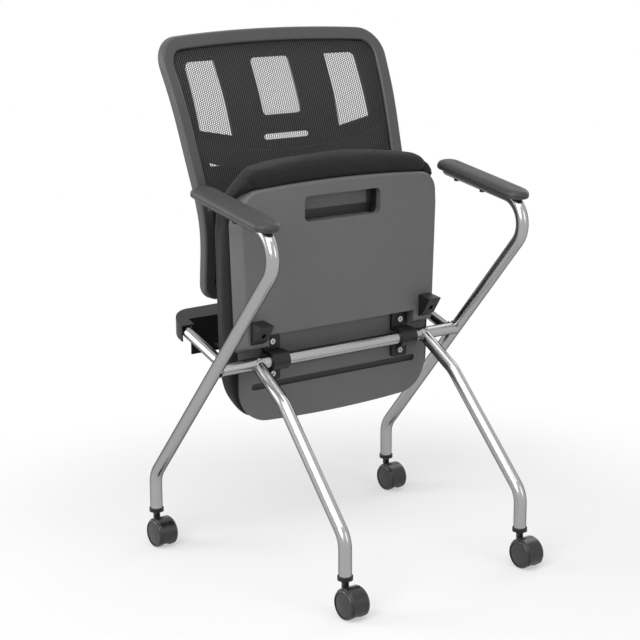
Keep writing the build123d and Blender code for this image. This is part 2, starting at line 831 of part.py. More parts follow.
def lumbar():
    """A curved band across the back, standing on the shell at both ends."""
    end_x = BACK_LOW_X - RING_W
    reach = BACK_TOP_X + 2 * BACK_SPARE
    climb = (LUMBAR_END_Z - LUMBAR_Z) * (reach / (BACK_TOP_X - RING_W)) ** 2
    with BuildSketch(mode=Mode.PRIVATE) as smile:
        with BuildLine():
            upper = ThreePointArc(
                (-reach, LUMBAR_Z + climb), (0, LUMBAR_Z), (reach, LUMBAR_Z + climb)
            )
            lower = ThreePointArc(
                (-reach, LUMBAR_Z + climb - LUMBAR_H),
                (0, LUMBAR_Z - LUMBAR_H),
                (reach, LUMBAR_Z + climb - LUMBAR_H),
            )
            Line(upper @ 0, lower @ 0)
            Line(upper @ 1, lower @ 1)
        make_face()
        add(back_outline(-RING_W - SEAT_GAP), mode=Mode.INTERSECT)
    with BuildPart() as band:
        add(back_band(LUMBAR_FRONT, LUMBAR_FRONT + LUMBAR_T))
        with BuildSketch(Plane.XZ):
            add(smile.sketch)
        extrude(amount=DEEP, both=True, mode=Mode.INTERSECT)
        with BuildPart(mode=Mode.PRIVATE) as feet:
            add(back_band(LUMBAR_FRONT + LUMBAR_T / 2, SHELL_FRONT - SEAT_GAP))
            with BuildSketch(Plane.XZ):
                add(smile.sketch)
                with Locations((0, LUMBAR_Z)):
                    Rectangle(2 * (end_x - LUMBAR_FOOT_W / 2), DEEP, mode=Mode.SUBTRACT)
            extrude(amount=DEEP, both=True, mode=Mode.INTERSECT)
        add(feet.part)
    return band.part


def back_bar():
    """A flat steel bar, bent to the back's line and standing on the rear tube."""
    outer = Plane(origin=(BAR_X + BAR_W, BACK_AXIS_Y, 0), x_dir=(0, 1, 0), z_dir=(1, 0, 0))
    tube_z = HINGE_Z + (U_REAR_Y - HINGE_Y) * tan(U_SLOPE)
    with BuildPart() as bar:
        extrude(back_strip(BAR_FRONT, BAR_BACK, outer), amount=2 * BAR_W, dir=(-1, 0, 0))
        with BuildSketch(Plane.XZ):
            with Locations((BAR_X, (BAR_LOW_Z + BAR_TOP_Z) / 2)):
                RectangleRounded(BAR_W, BAR_TOP_Z - BAR_LOW_Z, BAR_END_R)
        extrude(amount=DEEP, both=True, mode=Mode.INTERSECT)
        # weld beads above and below the rear tube
        with BuildSketch(Plane.YZ.offset(BAR_X - BAR_W / 2)):
            with Locations((U_REAR_Y, tube_z)):
                Circle(U_R + WELD)
        extrude(amount=BAR_W)
        with BuildSketch(Plane.YZ.offset(BAR_X - BAR_W / 2)):
            with Locations((U_REAR_Y, tube_z)):
                Circle(U_R)
            with Locations((U_REAR_Y + BAR_BEAD, tube_z)):
                Rectangle(2 * U_R, 4 * U_R)
        extrude(amount=BAR_W, mode=Mode.SUBTRACT)
        for seat in bar_seats():
            with BuildSketch(seat.offset(BAR_BACK)):
                Circle(M5.shank_r + SLIP)
            extrude(amount=-2 * BAR_T, mode=Mode.SUBTRACT)
            with BuildSketch(seat.offset(BAR_BACK - BAR_SUNK)):
                Circle(M5.head_r + SEAT_GAP)
            extrude(amount=BAR_T, mode=Mode.SUBTRACT)
    return bar.part


def shell_screws():
    """Screws through the bars into the shell."""
    seats = [seat.offset(BAR_BACK - BAR_SUNK) for seat in bar_seats()]
    length = BAR_BACK - BAR_SUNK - SHELL_FRONT + BAR_T / 2
    return screws(both_sides(seats), M5, length)


# ---------------------------------------------------------------- rear cover
def cover_outline(inset):
    """The rear cover seen from above: a U over the rear tube, its walls moved in by inset."""
    side = U_X + U_R + COVER_GAP + COVER_T - inset
    rear = U_REAR_Y + U_R + COVER_GAP + COVER_T - inset
    inner = U_X - U_R - COVER_GAP - COVER_T + inset
    front = COVER_FRONT_Y + inset
    with BuildSketch(mode=Mode.PRIVATE) as outline:
        with BuildLine():
            Polyline(
                (-side, rear),
                (-side, COVER_END_Y),
                (-inner, COVER_END_Y),
                (-inner, front),
                (inner, front),
                (inner, COVER_END_Y),
                (side, COVER_END_Y),
                (side, rear),
            )
            ThreePointArc((side, rear), (0, rear + COVER_BOW), (-side, rear))
        make_face()
        fillet(outline.vertices().group_by(Axis.Y)[-1], COVER_CORNER_R - inset)
    return outline.sketch


def above_rear_tube(height):
    """Everything above a plane parallel to the rear tube's."""
    with BuildPart(mode=Mode.PRIVATE) as space:
        with BuildSketch(U_PLANE.offset(height)):
            Rectangle(2 * DEEP, 2 * DEEP)
        extrude(amount=DEEP)
    return space.part


def rear_cover():
    """A plastic cover open below, with a skirt in front of the rear tube."""
    roof = U_R + COVER_GAP
    low_z = SKIRT_LOW_Z - 2 * U_R
    with BuildPart() as cover:
        with BuildSketch(Plane.XY.offset(low_z)):
            add(cover_outline(0))
        extrude(amount=COVER_BLOCK)
        add(above_rear_tube(roof + COVER_T), mode=Mode.SUBTRACT)
        add(above_rear_tube(-COVER_LOW), mode=Mode.INTERSECT)
        with BuildPart(mode=Mode.PRIVATE) as hollow:
            with BuildSketch(Plane.XY.offset(low_z)):
                add(cover_outline(COVER_T))
            extrude(amount=COVER_BLOCK)
            add(above_rear_tube(roof), mode=Mode.SUBTRACT)
        add(hollow.part, mode=Mode.SUBTRACT)
        with BuildSketch(upright(COVER_FRONT_Y + COVER_T)):
            with Locations((0, (SKIRT_LOW_Z + SKIRT_TOP_Z) / 2)):
                Rectangle(2 * SKIRT_X, SKIRT_TOP_Z - SKIRT_LOW_Z)
        extrude(amount=COVER_T)
        for x in (-TAB_X, TAB_X):
            boss = U_REAR_Y - U_R + U_WALL / 2 - TAB_T - COVER_FRONT_Y
            with BuildSketch(upright(COVER_FRONT_Y + boss)):
                with Locations((x, COVER_SCREW_Z)):
                    Circle(2 * M4.shank_r + SLIP)
            extrude(amount=boss)
            with BuildSketch(upright(COVER_FRONT_Y + boss)):
                with Locations((x, COVER_SCREW_Z)):
                    Circle(M4.shank_r + SLIP)
            extrude(amount=2 * boss, mode=Mode.SUBTRACT)
        # slots that the bars and their weld beads come up through
        slot_front = BACK_FOOT_Y + BAR_FRONT - SLOT_GAP
        slot_back = U_REAR_Y - U_R + BAR_BEAD + SLOT_GAP
        for x in (-BAR_X, BAR_X):
            with BuildSketch(Plane.XY.offset(BAR_LOW_Z - SLOT_GAP)):
                with Locations((x, (slot_front + slot_back) / 2)):
                    Rectangle(BAR_W + 2 * SLOT_GAP, slot_back - slot_front)
            extrude(amount=BAR_TOP_Z, mode=Mode.SUBTRACT)
        add(rear_rod(U_R + COVER_GAP), mode=Mode.SUBTRACT)
    return cover.part


def cover_screws():
    """Screws through the skirt into the rear tube's tabs."""
    seats = [facing(TAB_X, COVER_FRONT_Y, COVER_SCREW_Z)]
    length = U_REAR_Y - U_R + U_WALL / 2 - COVER_FRONT_Y + 2 * SLIP
    return screws(both_sides(seats), M4, length)


# ---------------------------------------------------------------- seat
def pan_outline(flare, inset):
    """The seat pan seen from the front, its low end and sides moved out by flare, and then
    shrunk all round by inset."""
    low_x, mid_x, low_z = PAN_LOW_X + flare, PAN_MID_X + flare, PAN_LOW_Z - flare
    with BuildSketch(mode=Mode.PRIVATE) as outline:
        with BuildLine():
            top = ThreePointArc((-PAN_TOP_X, PAN_SIDE_Z), (0, PAN_TOP_Z), (PAN_TOP_X, PAN_SIDE_Z))
            Polyline(
                top @ 0,
                (-mid_x, PAN_MID_Z),
                (-low_x, low_z),
                (low_x, low_z),
                (mid_x, PAN_MID_Z),
                top @ 1,
            )
        make_face()
        fillet(outline.vertices().group_by(Axis.Y)[0], PAN_LOW_R)
        fillet(outline.vertices().group_by(Axis.Y)[-1], PAN_TOP_R)
        if inset:
            offset(amount=-inset)
    return outline.sketch


def pan_block(inset):
    """The pan's flared body; inset shrinks its sides and lifts its floor."""
    with BuildPart(mode=Mode.PRIVATE) as block:
        with BuildSketch(upright(PAN_Y + inset)):
            add(pan_outline(0, inset))
        with BuildSketch(upright(PAN_RIM_Y)):
            add(pan_outline(PAN_FLARE, inset))
        loft(ruled=True)
    return block.part


def notch(inset):
    """The space over the cross tube that the pan steps round, walls moved in by inset."""
    low = PAN_LOW_Z - 2 * PAN_FLARE
    with BuildPart(mode=Mode.PRIVATE) as space:
        with BuildSketch(upright(TAIL_Y)):
            with Locations((0, (low + NOTCH_Z + inset) / 2)):
                Rectangle(2 * (NOTCH_X + inset), NOTCH_Z + inset - low)
        extrude(amount=2 * PAN_RIM_Y)
    return space.part


def tail_outline():
    """The rear of the pan, from its rounded end to behind the main face."""
    with BuildSketch(mode=Mode.PRIVATE) as outline:
        with BuildLine():
            low = ThreePointArc((-TAIL_X, TAIL_LOW_Z), (0, TAIL_MID_Z), (TAIL_X, TAIL_LOW_Z))
            Polyline(low @ 0, (-TAIL_X, NOTCH_Z), (TAIL_X, NOTCH_Z), low @ 1)
        make_face()
        fillet(outline.vertices().group_by(Axis.Y)[0], TAIL_R)
    return outline.sketch


def hand_outline(top):
    """The hand recess up to a height, seen from the front."""
    with BuildSketch(mode=Mode.PRIVATE) as outline:
        with Locations((0, sum(HAND_Z) / 2)):
            RectangleRounded(2 * HAND_X, HAND_Z[1] - HAND_Z[0], HAND_R)
        with Locations((0, top - DEEP / 2)):
            Rectangle(DEEP, DEEP, mode=Mode.INTERSECT)
    return outline.sketch


def seat_pan():
    """The plastic pan: a flared tray with a hand recess, a channel for the cross tube and a
    flat tail with a cross slot."""
    hand_z = sum(HAND_Z) / 2
    hand_h = HAND_Z[1] - HAND_Z[0]
    with BuildPart() as pan:
        add(pan_block(0))
        fillet(pan.faces().sort_by(Axis.Y)[0].edges(), PAN_EDGE_R)
        add(pan_block(PAN_WALL), mode=Mode.SUBTRACT)
        # walls of the channel and the hand recess, and two ribs, stand inside the tray
        with BuildPart(mode=Mode.PRIVATE) as inside:
            with BuildSketch(upright(PAN_RIM_Y)):
                with Locations((0, NOTCH_Z + PAN_WALL / 2)):
                    Rectangle(2 * (NOTCH_X + PAN_WALL), PAN_WALL)
                with Locations((-NOTCH_X - PAN_WALL / 2, 0), (NOTCH_X + PAN_WALL / 2, 0)):
                    Rectangle(PAN_WALL, 2 * (NOTCH_Z + PAN_WALL))
                with Locations((0, hand_z)):
                    RectangleRounded(
                        2 * (HAND_X + PAN_WALL), hand_h + 2 * PAN_WALL, HAND_R + PAN_WALL
                    )
                with Locations((-RIB_X, PAN_SIDE_Z / 2), (RIB_X, PAN_SIDE_Z / 2)):
                    Rectangle(RIB_T, PAN_SIDE_Z)
            extrude(amount=PAN_RIM_Y - PAN_Y)
            add(pan_block(0), mode=Mode.INTERSECT)
            with BuildSketch(upright(PAN_RIM_Y)):
                with Locations((0, (NOTCH_Z + PAN_LOW_Z) / 2 - PAN_FLARE)):
                    Rectangle(2 * NOTCH_X, NOTCH_Z - PAN_LOW_Z + 2 * PAN_FLARE)
            extrude(amount=PAN_RIM_Y - PAN_Y, mode=Mode.SUBTRACT)
        add(inside.part)
        add(notch(0), mode=Mode.SUBTRACT)
        with BuildSketch(upright(PAN_RIM_Y)):
            add(tail_outline())
            with Locations((0, sum(TAIL_SLOT) / 2)):
                SlotOverall(2 * TAIL_SLOT_X, TAIL_SLOT[1] - TAIL_SLOT[0], mode=Mode.SUBTRACT)
        extrude(amount=PAN_RIM_Y - TAIL_Y)
        with BuildSketch(upright(PAN_Y)):
            add(hand_outline(HAND_Z[1]))
        extrude(amount=-HAND_DEPTH, mode=Mode.SUBTRACT)
        with BuildSketch(upright(PAN_Y)):
            add(hand_outline(FINGER_TOP_Z))
        extrude(amount=-FINGER_DEPTH, mode=Mode.SUBTRACT)
        with BuildSketch(upright(PAN_RIM_Y)):
            with Locations(*clamp_spots()):
                Circle(M6.shank_r + SLIP)
            with Locations((LEG_TOP_X, BLOCK_SCREW_Z), (-LEG_TOP_X, BLOCK_SCREW_Z)):
                Circle(M4.shank_r + SLIP)
        extrude(amount=PAN_RIM_Y, mode=Mode.SUBTRACT)
    return pan.part


def clamp_spots():
    """The clamps' four screws seen from the front."""
    return [(x, z) for x in (-CLAMP_X, CLAMP_X) for z in CLAMP_SCREW_Z]


def board_outline(grow):
    """The seat board seen from the front, moved outwards by grow."""
    with BuildSketch(mode=Mode.PRIVATE) as outline:
        with BuildLine():
            Polyline(
                (-BOARD_LOW_X, BOARD_LOW_Z),
                (BOARD_LOW_X, BOARD_LOW_Z),
                (BOARD_X, BOARD_TOP_Z),
                (-BOARD_X, BOARD_TOP_Z),
                close=True,
            )
        make_face()
        fillet(outline.vertices().group_by(Axis.Y)[0], BOARD_LOW_R)
        fillet(outline.vertices().group_by(Axis.Y)[-1], BOARD_TOP_R)
        if grow:
            offset(amount=grow)
    return outline.sketch


def seat_board():
    """The plywood board between pan and cushion, drilled for the clamps' nuts."""
    back_y = PAN_RIM_Y + BOARD_T
    with BuildPart() as board:
        with BuildSketch(upright(back_y)):
            add(board_outline(0))
        extrude(amount=BOARD_T)
        with BuildSketch(upright(back_y)):
            with Locations(*clamp_spots()):
                Circle(NUT_R + SLIP)
        extrude(amount=BOARD_T, mode=Mode.SUBTRACT)
        with BuildSketch(upright(back_y)):
            with Locations(*clamp_spots()):
                Circle(NUT_FLANGE_R + SLIP)
        extrude(amount=NUT_FLANGE_T, mode=Mode.SUBTRACT)
    return board.part


def tee_nuts():
    """Nuts let into the back of the board."""
    back_y = PAN_RIM_Y + BOARD_T
    with BuildPart() as nuts:
        with BuildSketch(upright(back_y)):
            with Locations(*clamp_spots()):
                Circle(NUT_FLANGE_R)
        extrude(amount=NUT_FLANGE_T)
        with BuildSketch(upright(back_y)):
            with Locations(*clamp_spots()):
                Circle(NUT_R)
        extrude(amount=BOARD_T - SEAT_GAP)
        with BuildSketch(upright(back_y)):
            with Locations(*clamp_spots()):
                Circle(M6.shank_r + SLIP)
        extrude(amount=BOARD_T, mode=Mode.SUBTRACT)
    return nuts.part


def cushion_outline():
    """The cushion seen from the front."""
    with BuildSketch(mode=Mode.PRIVATE) as outline:
        with BuildLine():
            low = ThreePointArc(
                (-CUSHION_LOW_X, CUSHION_LOW_Z),
                (0, CUSHION_MID_LOW_Z),
                (CUSHION_LOW_X, CUSHION_LOW_Z),
            )
            top = ThreePointArc(
                (-CUSHION_X, CUSHION_SIDE_Z), (0, CUSHION_TOP_Z), (CUSHION_X, CUSHION_SIDE_Z)
            )
            Line(low @ 0, top @ 0)
            Line(low @ 1, top @ 1)
        make_face()
        fillet(outline.vertices().group_by(Axis.Y)[0], CUSHION_LOW_R)
        fillet(outline.vertices().group_by(Axis.Y)[-1], CUSHION_TOP_R)
    return outline.sketch


def crown():
    """A round lid over the whole cushion, domed and rounded at its edge, that shapes the
    sitting face and the four corners."""
    middle = (CUSHION_TOP_Z + CUSHION_MID_LOW_Z) / 2
    with BuildPart(mode=Mode.PRIVATE) as lid:
        with BuildSketch(Plane.XY.offset(middle)) as half:
            with BuildLine():
                fall = CROWN_R - sqrt(CROWN_R**2 - CORNER_REACH**2)
                half_fall = CROWN_R - sqrt(CROWN_R**2 - CORNER_REACH**2 / 4)
                ThreePointArc(
                    (0, CROWN_Y),
                    (CORNER_REACH / 2, CROWN_Y - half_fall),
                    (CORNER_REACH, CROWN_Y - fall),
                )
                Polyline((CORNER_REACH, CROWN_Y - fall), (CORNER_REACH, 0), (0, 0), (0, CROWN_Y))
            make_face()
            fillet(half.vertices().sort_by_distance((CORNER_REACH, CROWN_Y - fall, 0))[0], CORNER_R)
        revolve(axis=Axis((0, 0, middle), (0, 1, 0)))
    return lid.part


def seat_cushion():
    """The cushion: round shoulders, a crowned sitting face, a roll over the pan's top end, and
    a pocket that the board lies in."""
    under = PAN_RIM_Y + SEAT_GAP
    with BuildPart() as cushion:
        with BuildSketch(upright(CROWN_Y)):
            add(cushion_outline())
        extrude(amount=CROWN_Y - ROLL_Y)
        fillet(cushion.faces().sort_by(Axis.Y)[-1].edges(), CUSHION_SHOULDER_R)
        fillet(cushion.faces().sort_by(Axis.Y)[0].edges(), ROLL_R)
        add(crown(), mode=Mode.INTERSECT)
        # seen from the side: round ends, and in front of the seam only the roll
        low_z, top_z = CUSHION_MID_LOW_Z - SEAT_GAP, CUSHION_TOP_Z + SEAT_GAP
        with BuildSketch(Plane.YZ) as side:
            with BuildLine():
                Polyline(
                    (under, low_z),
                    (CROWN_Y, low_z),
                    (CROWN_Y, top_z),
                    (0, top_z),
                    (0, ROLL_Z[1]),
                    (ROLL_Y, ROLL_Z[1]),
                    (under, ROLL_Z[0]),
                    close=True,
                )
            make_face()
            back = side.vertices().group_by(Axis.X)[-1].sort_by(Axis.Y)
            fillet(back[0], CUSHION_FALL_R[0])
            fillet(back[1], CUSHION_FALL_R[1])
        extrude(amount=DEEP, both=True, mode=Mode.INTERSECT)
        add(pan_block(-SEAT_GAP), mode=Mode.SUBTRACT)
        with BuildSketch(upright(under)):
            add(pan_outline(PAN_FLARE, -SEAT_GAP))
        extrude(amount=2 * SEAT_GAP, mode=Mode.SUBTRACT)
        with BuildSketch(upright(PAN_RIM_Y + BOARD_T + SEAT_GAP)):
            add(board_outline(SEAT_GAP))
        extrude(amount=BOARD_T + 2 * SEAT_GAP, mode=Mode.SUBTRACT)
    return cushion.part


def hinge_clamp():
    """A saddle that holds the seat to the cross tube and turns on it."""
    with BuildPart() as clamp:
        with BuildSketch(HINGE_PLANE.offset(CLAMP_X - CLAMP_W / 2)):
            Circle(CLAMP_R)
            with Locations(((TAIL_Y - HINGE_Y) / 2, 0)):
                Rectangle(TAIL_Y - HINGE_Y, 2 * CLAMP_R)
            middle = (CLAMP_TOP_Z + CLAMP_LOW_Z) / 2 - HINGE_Z
            with Locations((TAIL_Y - HINGE_Y - CLAMP_T / 2, middle)):
                Rectangle(CLAMP_T, CLAMP_TOP_Z - CLAMP_LOW_Z)
            Circle(TUBE_R + RUN, mode=Mode.SUBTRACT)
            with Locations((TAIL_Y - HINGE_Y, 0)):
                Rectangle(2 * (TAIL_Y - HINGE_Y), 2 * (TUBE_R + RUN), mode=Mode.SUBTRACT)
        extrude(amount=CLAMP_W)
        ends = clamp.edges().filter_by(Axis.Y).filter_by(lambda e: e.length < CLAMP_T + SLIP)
        fillet(ends, 2 * CLAMP_EDGE_R)
        with BuildSketch(upright(TAIL_Y)):
            with Locations(*clamp_spots()):
                Circle(M6.shank_r + SLIP)
        extrude(amount=PAN_RIM_Y, mode=Mode.SUBTRACT)
    return clamp.part


def clamp_screws():
    """Screws through the clamps, pan and board into the nuts."""
    seats = [facing(x, TAIL_Y - CLAMP_T, z) for x, z in clamp_spots()]
    return screws(seats, M6, CLAMP_T + PAN_RIM_Y - TAIL_Y + BOARD_T - SEAT_GAP)


def rest_point(reach):
    """A point of the block's face, with the seat folded up.  With the seat down the face
    lies just above the front leg, reach along it from the hinge axis."""
    slope = atan2(HINGE_Z - LEG_MID_Z, HINGE_Y - LEG_MID_Y)
    lift = TUBE_R + REST_GAP
    y = -reach * cos(slope) - lift * sin(slope)
    z = -reach * sin(slope) + lift * cos(slope)
    turn = radians(-SWING)
    return (
        HINGE_Y + y * cos(turn) - z * sin(turn),
        HINGE_Z + y * sin(turn) + z * cos(turn),
    )


def rest_block():
    """A wedge under the seat that lands on a front leg."""
    with BuildPart() as block:
        with BuildSketch(Plane.YZ.offset(LEG_TOP_X - BLOCK_W / 2)):
            with BuildLine():
                Polyline(
                    (PAN_Y, BLOCK_LOW_Z),
                    rest_point(BLOCK_REACH[0]),
                    rest_point(BLOCK_REACH[1]),
                    (PAN_Y, BLOCK_TOP_Z),
                    close=True,
                )
            make_face()
        extrude(amount=BLOCK_W)
        chamfer(block.edges().filter_by(Axis.X).group_by(Axis.Y)[0], BLOCK_EDGE_R)
        with BuildSketch(upright(PAN_Y)):
            with Locations((LEG_TOP_X, BLOCK_SCREW_Z)):
                Circle(M4.shank_r + SLIP)
        extrude(amount=PAN_RIM_Y, mode=Mode.SUBTRACT)
        with BuildSketch(upright(PAN_Y - BLOCK_SCREW_SUNK)):
            with Locations((LEG_TOP_X, BLOCK_SCREW_Z)):
                Circle(M4.head_r + SEAT_GAP)
        extrude(amount=PAN_RIM_Y, mode=Mode.SUBTRACT)
    return block.part


def block_screws():
    """Screws through the rest blocks into the pan."""
    seats = [facing(LEG_TOP_X, PAN_Y - BLOCK_SCREW_SUNK, BLOCK_SCREW_Z)]
    return screws(both_sides(seats), M4, BLOCK_SCREW_SUNK + 2 * PAN_WALL)


# ---------------------------------------------------------------- write everything
write_pair(side_frame(), "side_frame")
write_pair(front_leg(), "front_leg")
write(cross_tube(), "seat_cross_tube")
write(rear_tube(), "rear_u_tube")
write(sockets(), "caster_sockets")
write(stems(), "caster_stems")
write_pair(arm_pad(), "arm_pad")
write(arm_plugs(), "arm_tube_plugs")
write(pad_screws(), "arm_pad_screws")
write(rear_cover(), "rear_cover")
write(cover_screws(), "rear_cover_screws")
write_pair(back_bar(), "back_bar")
write(ring(), "back_ring_frame")
write(welt(), "mesh_welt")
write(mesh(), "back_mesh")
write(shell(), "back_shell")
write(lumbar(), "lumbar_band")
write(shell_screws(), "shell_screws")
write(seat_pan(), "seat_pan")
write(seat_board(), "seat_board")
write(seat_cushion(), "seat_cushion")
write(tee_nuts(), "tee_nuts")
write(clamp_screws(), "clamp_screws")
write_pair(hinge_clamp(), "hinge_clamp")
write_pair(rest_block(), "rest_block")
write(block_screws(), "rest_block_screws")

caster_hood = hood()
caster_axle = axle()
wheel_left = wheel()
wheel_right = mirror(wheel_left, about=Plane.YZ)
for corner, spot in CASTERS.items():
    write(caster_hood.moved(Location(spot)), f"caster_hood_{corner}")
    write(caster_axle.moved(Location(spot)), f"caster_axle_{corner}")
    write(wheel_left.moved(Location(spot)), f"caster_wheel_{corner}_a")
    write(wheel_right.moved(Location(spot)), f"caster_wheel_{corner}_b")
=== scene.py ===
# %% [markdown]
# # Dressing a nesting chair
# The chair is a bent steel tube frame on casters, with a seat that folds up about its cross
# tube and a mesh stretched in a plastic ring for a back.  Its rigid pieces are already made
# and packed.  This lesson loads them as a fixed frame, gives each of them a finish built from
# nodes, and makes the soft pieces new: the cushion, the mesh and the arm pads.

# %% Load the fixed frame
import math

import bmesh
import bpy
import numpy as np
from mathutils import Matrix, Vector
from mathutils.geometry import delaunay_2d_cdt


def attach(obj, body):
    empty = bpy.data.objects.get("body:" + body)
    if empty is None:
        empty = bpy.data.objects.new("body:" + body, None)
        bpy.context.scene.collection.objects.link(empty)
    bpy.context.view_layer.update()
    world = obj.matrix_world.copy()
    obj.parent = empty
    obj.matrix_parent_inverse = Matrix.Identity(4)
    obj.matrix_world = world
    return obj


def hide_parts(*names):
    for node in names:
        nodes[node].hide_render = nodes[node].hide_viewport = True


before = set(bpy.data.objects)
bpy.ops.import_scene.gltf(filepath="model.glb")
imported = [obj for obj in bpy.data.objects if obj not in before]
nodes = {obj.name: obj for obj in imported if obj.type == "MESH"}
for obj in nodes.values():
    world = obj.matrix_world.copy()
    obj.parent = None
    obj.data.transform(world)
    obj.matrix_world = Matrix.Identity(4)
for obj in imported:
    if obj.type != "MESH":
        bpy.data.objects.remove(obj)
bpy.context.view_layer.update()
scene = bpy.context.scene

# %% [markdown]
# The camera comes first, because every later choice is judged through it.  Its place, its
# turn and its lens were worked out from the photograph: the tubes' ends, the casters and the
# ring's corners have known places on the chair, and only one camera puts them all where the
# picture has them.  The four columns below are its right, its up, its back and its place.

# %% Camera
lens = bpy.data.cameras.new("studio_lens")
lens.sensor_width = 36.0
lens.lens = 97.75
lens.clip_start, lens.clip_end = 0.1, 60.0
viewpoint = bpy.data.objects.new("studio_camera", lens)
scene.collection.objects.link(viewpoint)
viewpoint.matrix_world = Matrix((
    (0.80869, 0.13887, -0.57160, -1.7631),
    (-0.58821, 0.18221, -0.78792, -2.3385),
    (-0.00527, 0.97340, 0.22903, 1.1071),
    (0.0, 0.0, 0.0, 1.0),
))
scene.camera = viewpoint
print("camera distance in m:", round(viewpoint.matrix_world.translation.length, 2))

# %% [markdown]
# Small helpers for nodes.  A node tree is easier to read when one line makes a node, sets its
# values and wires its inputs, so `put` takes numbers for plain values and sockets for wires.

# %% Node helpers
def put(tree, kind, inputs=None, **settings):
    """A new node: settings are its properties, inputs are values or sockets by name or place."""
    made = tree.nodes.new(kind)
    for name, value in settings.items():
        setattr(made, name, value)
    for name, value in (inputs or {}).items():
        if isinstance(value, bpy.types.NodeSocket):
            tree.links.new(value, made.inputs[name])
        else:
            made.inputs[name].default_value = value
    return made


def compute(tree, operation, a, b=None, clamp=False):
    """One Math node on sockets or numbers."""
    values = {0: a} if b is None else {0: a, 1: b}
    return put(tree, "ShaderNodeMath", values, operation=operation, use_clamp=clamp).outputs[0]


def swing(tree, noise, amount):
    """What a noise between 0 and 1 is above or below its middle, times amount."""
    return compute(tree, "MULTIPLY", compute(tree, "SUBTRACT", noise, 0.5), amount)


def effect(name, inputs, outputs):
    """An empty shader node group with named inputs (name, type, value) and outputs."""
    group = bpy.data.node_groups.new(name, "ShaderNodeTree")
    for label, kind, value in inputs:
        socket = group.interface.new_socket(label, in_out="INPUT", socket_type=kind)
        if value is not None:
            socket.default_value = value
    for label, kind in outputs:
        group.interface.new_socket(label, in_out="OUTPUT", socket_type=kind)
    takes = group.nodes.new("NodeGroupInput").outputs
    gives = group.nodes.new("NodeGroupOutput").inputs
    return group, takes, gives


FLOAT, COLOR, VECTOR = "NodeSocketFloat", "NodeSocketColor", "NodeSocketVector"

# %% [markdown]
# Moulded plastic is never quite even.  The tool that formed it was etched with a fine pebble,
# the pellets mixed a little unevenly, and hands and cartons have polished some places.  The
# same three effects belong to the pan, the ring, the shell, the cover and the clamps, so they
# are one shader node group with named values, placed in each material.

# %% Shared effect: moulded grain
def make_moulded_grain():
    """Pebble height, an uneven tint and a roughness, in object space."""
    group, takes, gives = effect(
        "moulded_grain",
        [("Colour", COLOR, None), ("Grain Scale", FLOAT, 900.0), ("Unevenness", FLOAT, 0.12),
         ("Roughness", FLOAT, 0.5), ("Polish", FLOAT, 0.1)],
        [("Colour", COLOR), ("Roughness", FLOAT), ("Height", FLOAT)],
    )
    place = put(group, "ShaderNodeTexCoord").outputs["Object"]
    pebbles = put(group, "ShaderNodeTexVoronoi",
                  {"Vector": place, "Scale": takes["Grain Scale"]}, feature="SMOOTH_F1")
    grit = put(group, "ShaderNodeTexNoise",
               {"Vector": place, "Scale": takes["Grain Scale"], "Detail": 2.0})
    height = compute(group, "ADD", pebbles.outputs["Distance"], grit.outputs["Fac"])
    group.links.new(height, gives["Height"])
    clouds = put(group, "ShaderNodeTexNoise", {"Vector": place, "Scale": 14.0, "Detail": 5.0})
    shift = swing(group, clouds.outputs["Fac"], takes["Unevenness"])
    shift = compute(group, "MULTIPLY", shift, 2.0)
    value = compute(group, "ADD", shift, 1.0)
    fleck = put(group, "ShaderNodeMapRange",
                {"Value": grit.outputs["Fac"], "From Min": 0.3, "From Max": 0.7,
                 "To Min": 0.93, "To Max": 1.07})
    value = compute(group, "MULTIPLY", value, fleck.outputs[0])
    tint = put(group, "ShaderNodeHueSaturation", {"Value": value, "Color": takes["Colour"]})
    group.links.new(tint.outputs[0], gives["Colour"])
    rubbed = put(group, "ShaderNodeTexNoise", {"Vector": place, "Scale": 30.0, "Detail": 6.0})
    rubbed = swing(group, rubbed.outputs["Fac"], takes["Polish"])
    rough = compute(group, "SUBTRACT", takes["Roughness"], rubbed, clamp=True)
    group.links.new(rough, gives["Roughness"])
    return group


moulded_grain = make_moulded_grain()
print("group:", moulded_grain.name)

# %% [markdown]
# Woven cloth is a grid of threads that pass over and under each other.  Two crossed waves give
# the rounded threads, and a checkerboard of the same pitch says which of them is on top.  The
# group reads a position in metres on the cloth, so the threads keep their real size.

# %% Shared effect: thread weave
def make_thread_weave():
    """Height of a plain weave and its Shade, a painted shade that is darker between the threads and
    lighter on their crowns; Pitch is the distance between threads in metres.
    """
    group, takes, gives = effect(
        "thread_weave",
        [("Cloth", VECTOR, None), ("Pitch", FLOAT, 0.0012), ("Fuzz", FLOAT, 0.25)],
        [("Height", FLOAT), ("Shade", FLOAT)],
    )
    parts = put(group, "ShaderNodeSeparateXYZ", {0: takes["Cloth"]})
    across = compute(group, "DIVIDE", parts.outputs["X"], takes["Pitch"])
    along = compute(group, "DIVIDE", parts.outputs["Y"], takes["Pitch"])

    def thread(position):
        """A rounded thread: 0 between threads and 1 on its crown."""
        turn = compute(group, "MULTIPLY", position, math.pi)
        return compute(group, "ABSOLUTE", compute(group, "SINE", turn))

    checks = compute(group, "ADD", compute(group, "FLOOR", across), compute(group, "FLOOR", along))
    over = compute(group, "MODULO", compute(group, "ABSOLUTE", checks), 2.0)
    crossed = put(group, "ShaderNodeMix", {0: over, 2: thread(across), 3: thread(along)})
    fuzz = put(group, "ShaderNodeTexNoise",
               {"Vector": takes["Cloth"], "Scale": 2600.0, "Detail": 2.0})
    worn = compute(group, "MULTIPLY", fuzz.outputs["Fac"], takes["Fuzz"])
    height = compute(group, "ADD", crossed.outputs[0], worn)
    group.links.new(height, gives["Height"])
    # Painted shade: the colour follows the height, darker where the threads dip and lighter on
    # their crowns.
    shade = put(group, "ShaderNodeMapRange",
                {"Value": height, "From Min": 0.1, "From Max": 1.1, "To Min": 0.55, "To Max": 1.25})
    group.links.new(shade.outputs[0], gives["Shade"])
    return group


thread_weave = make_thread_weave()
print("group:", thread_weave.name)

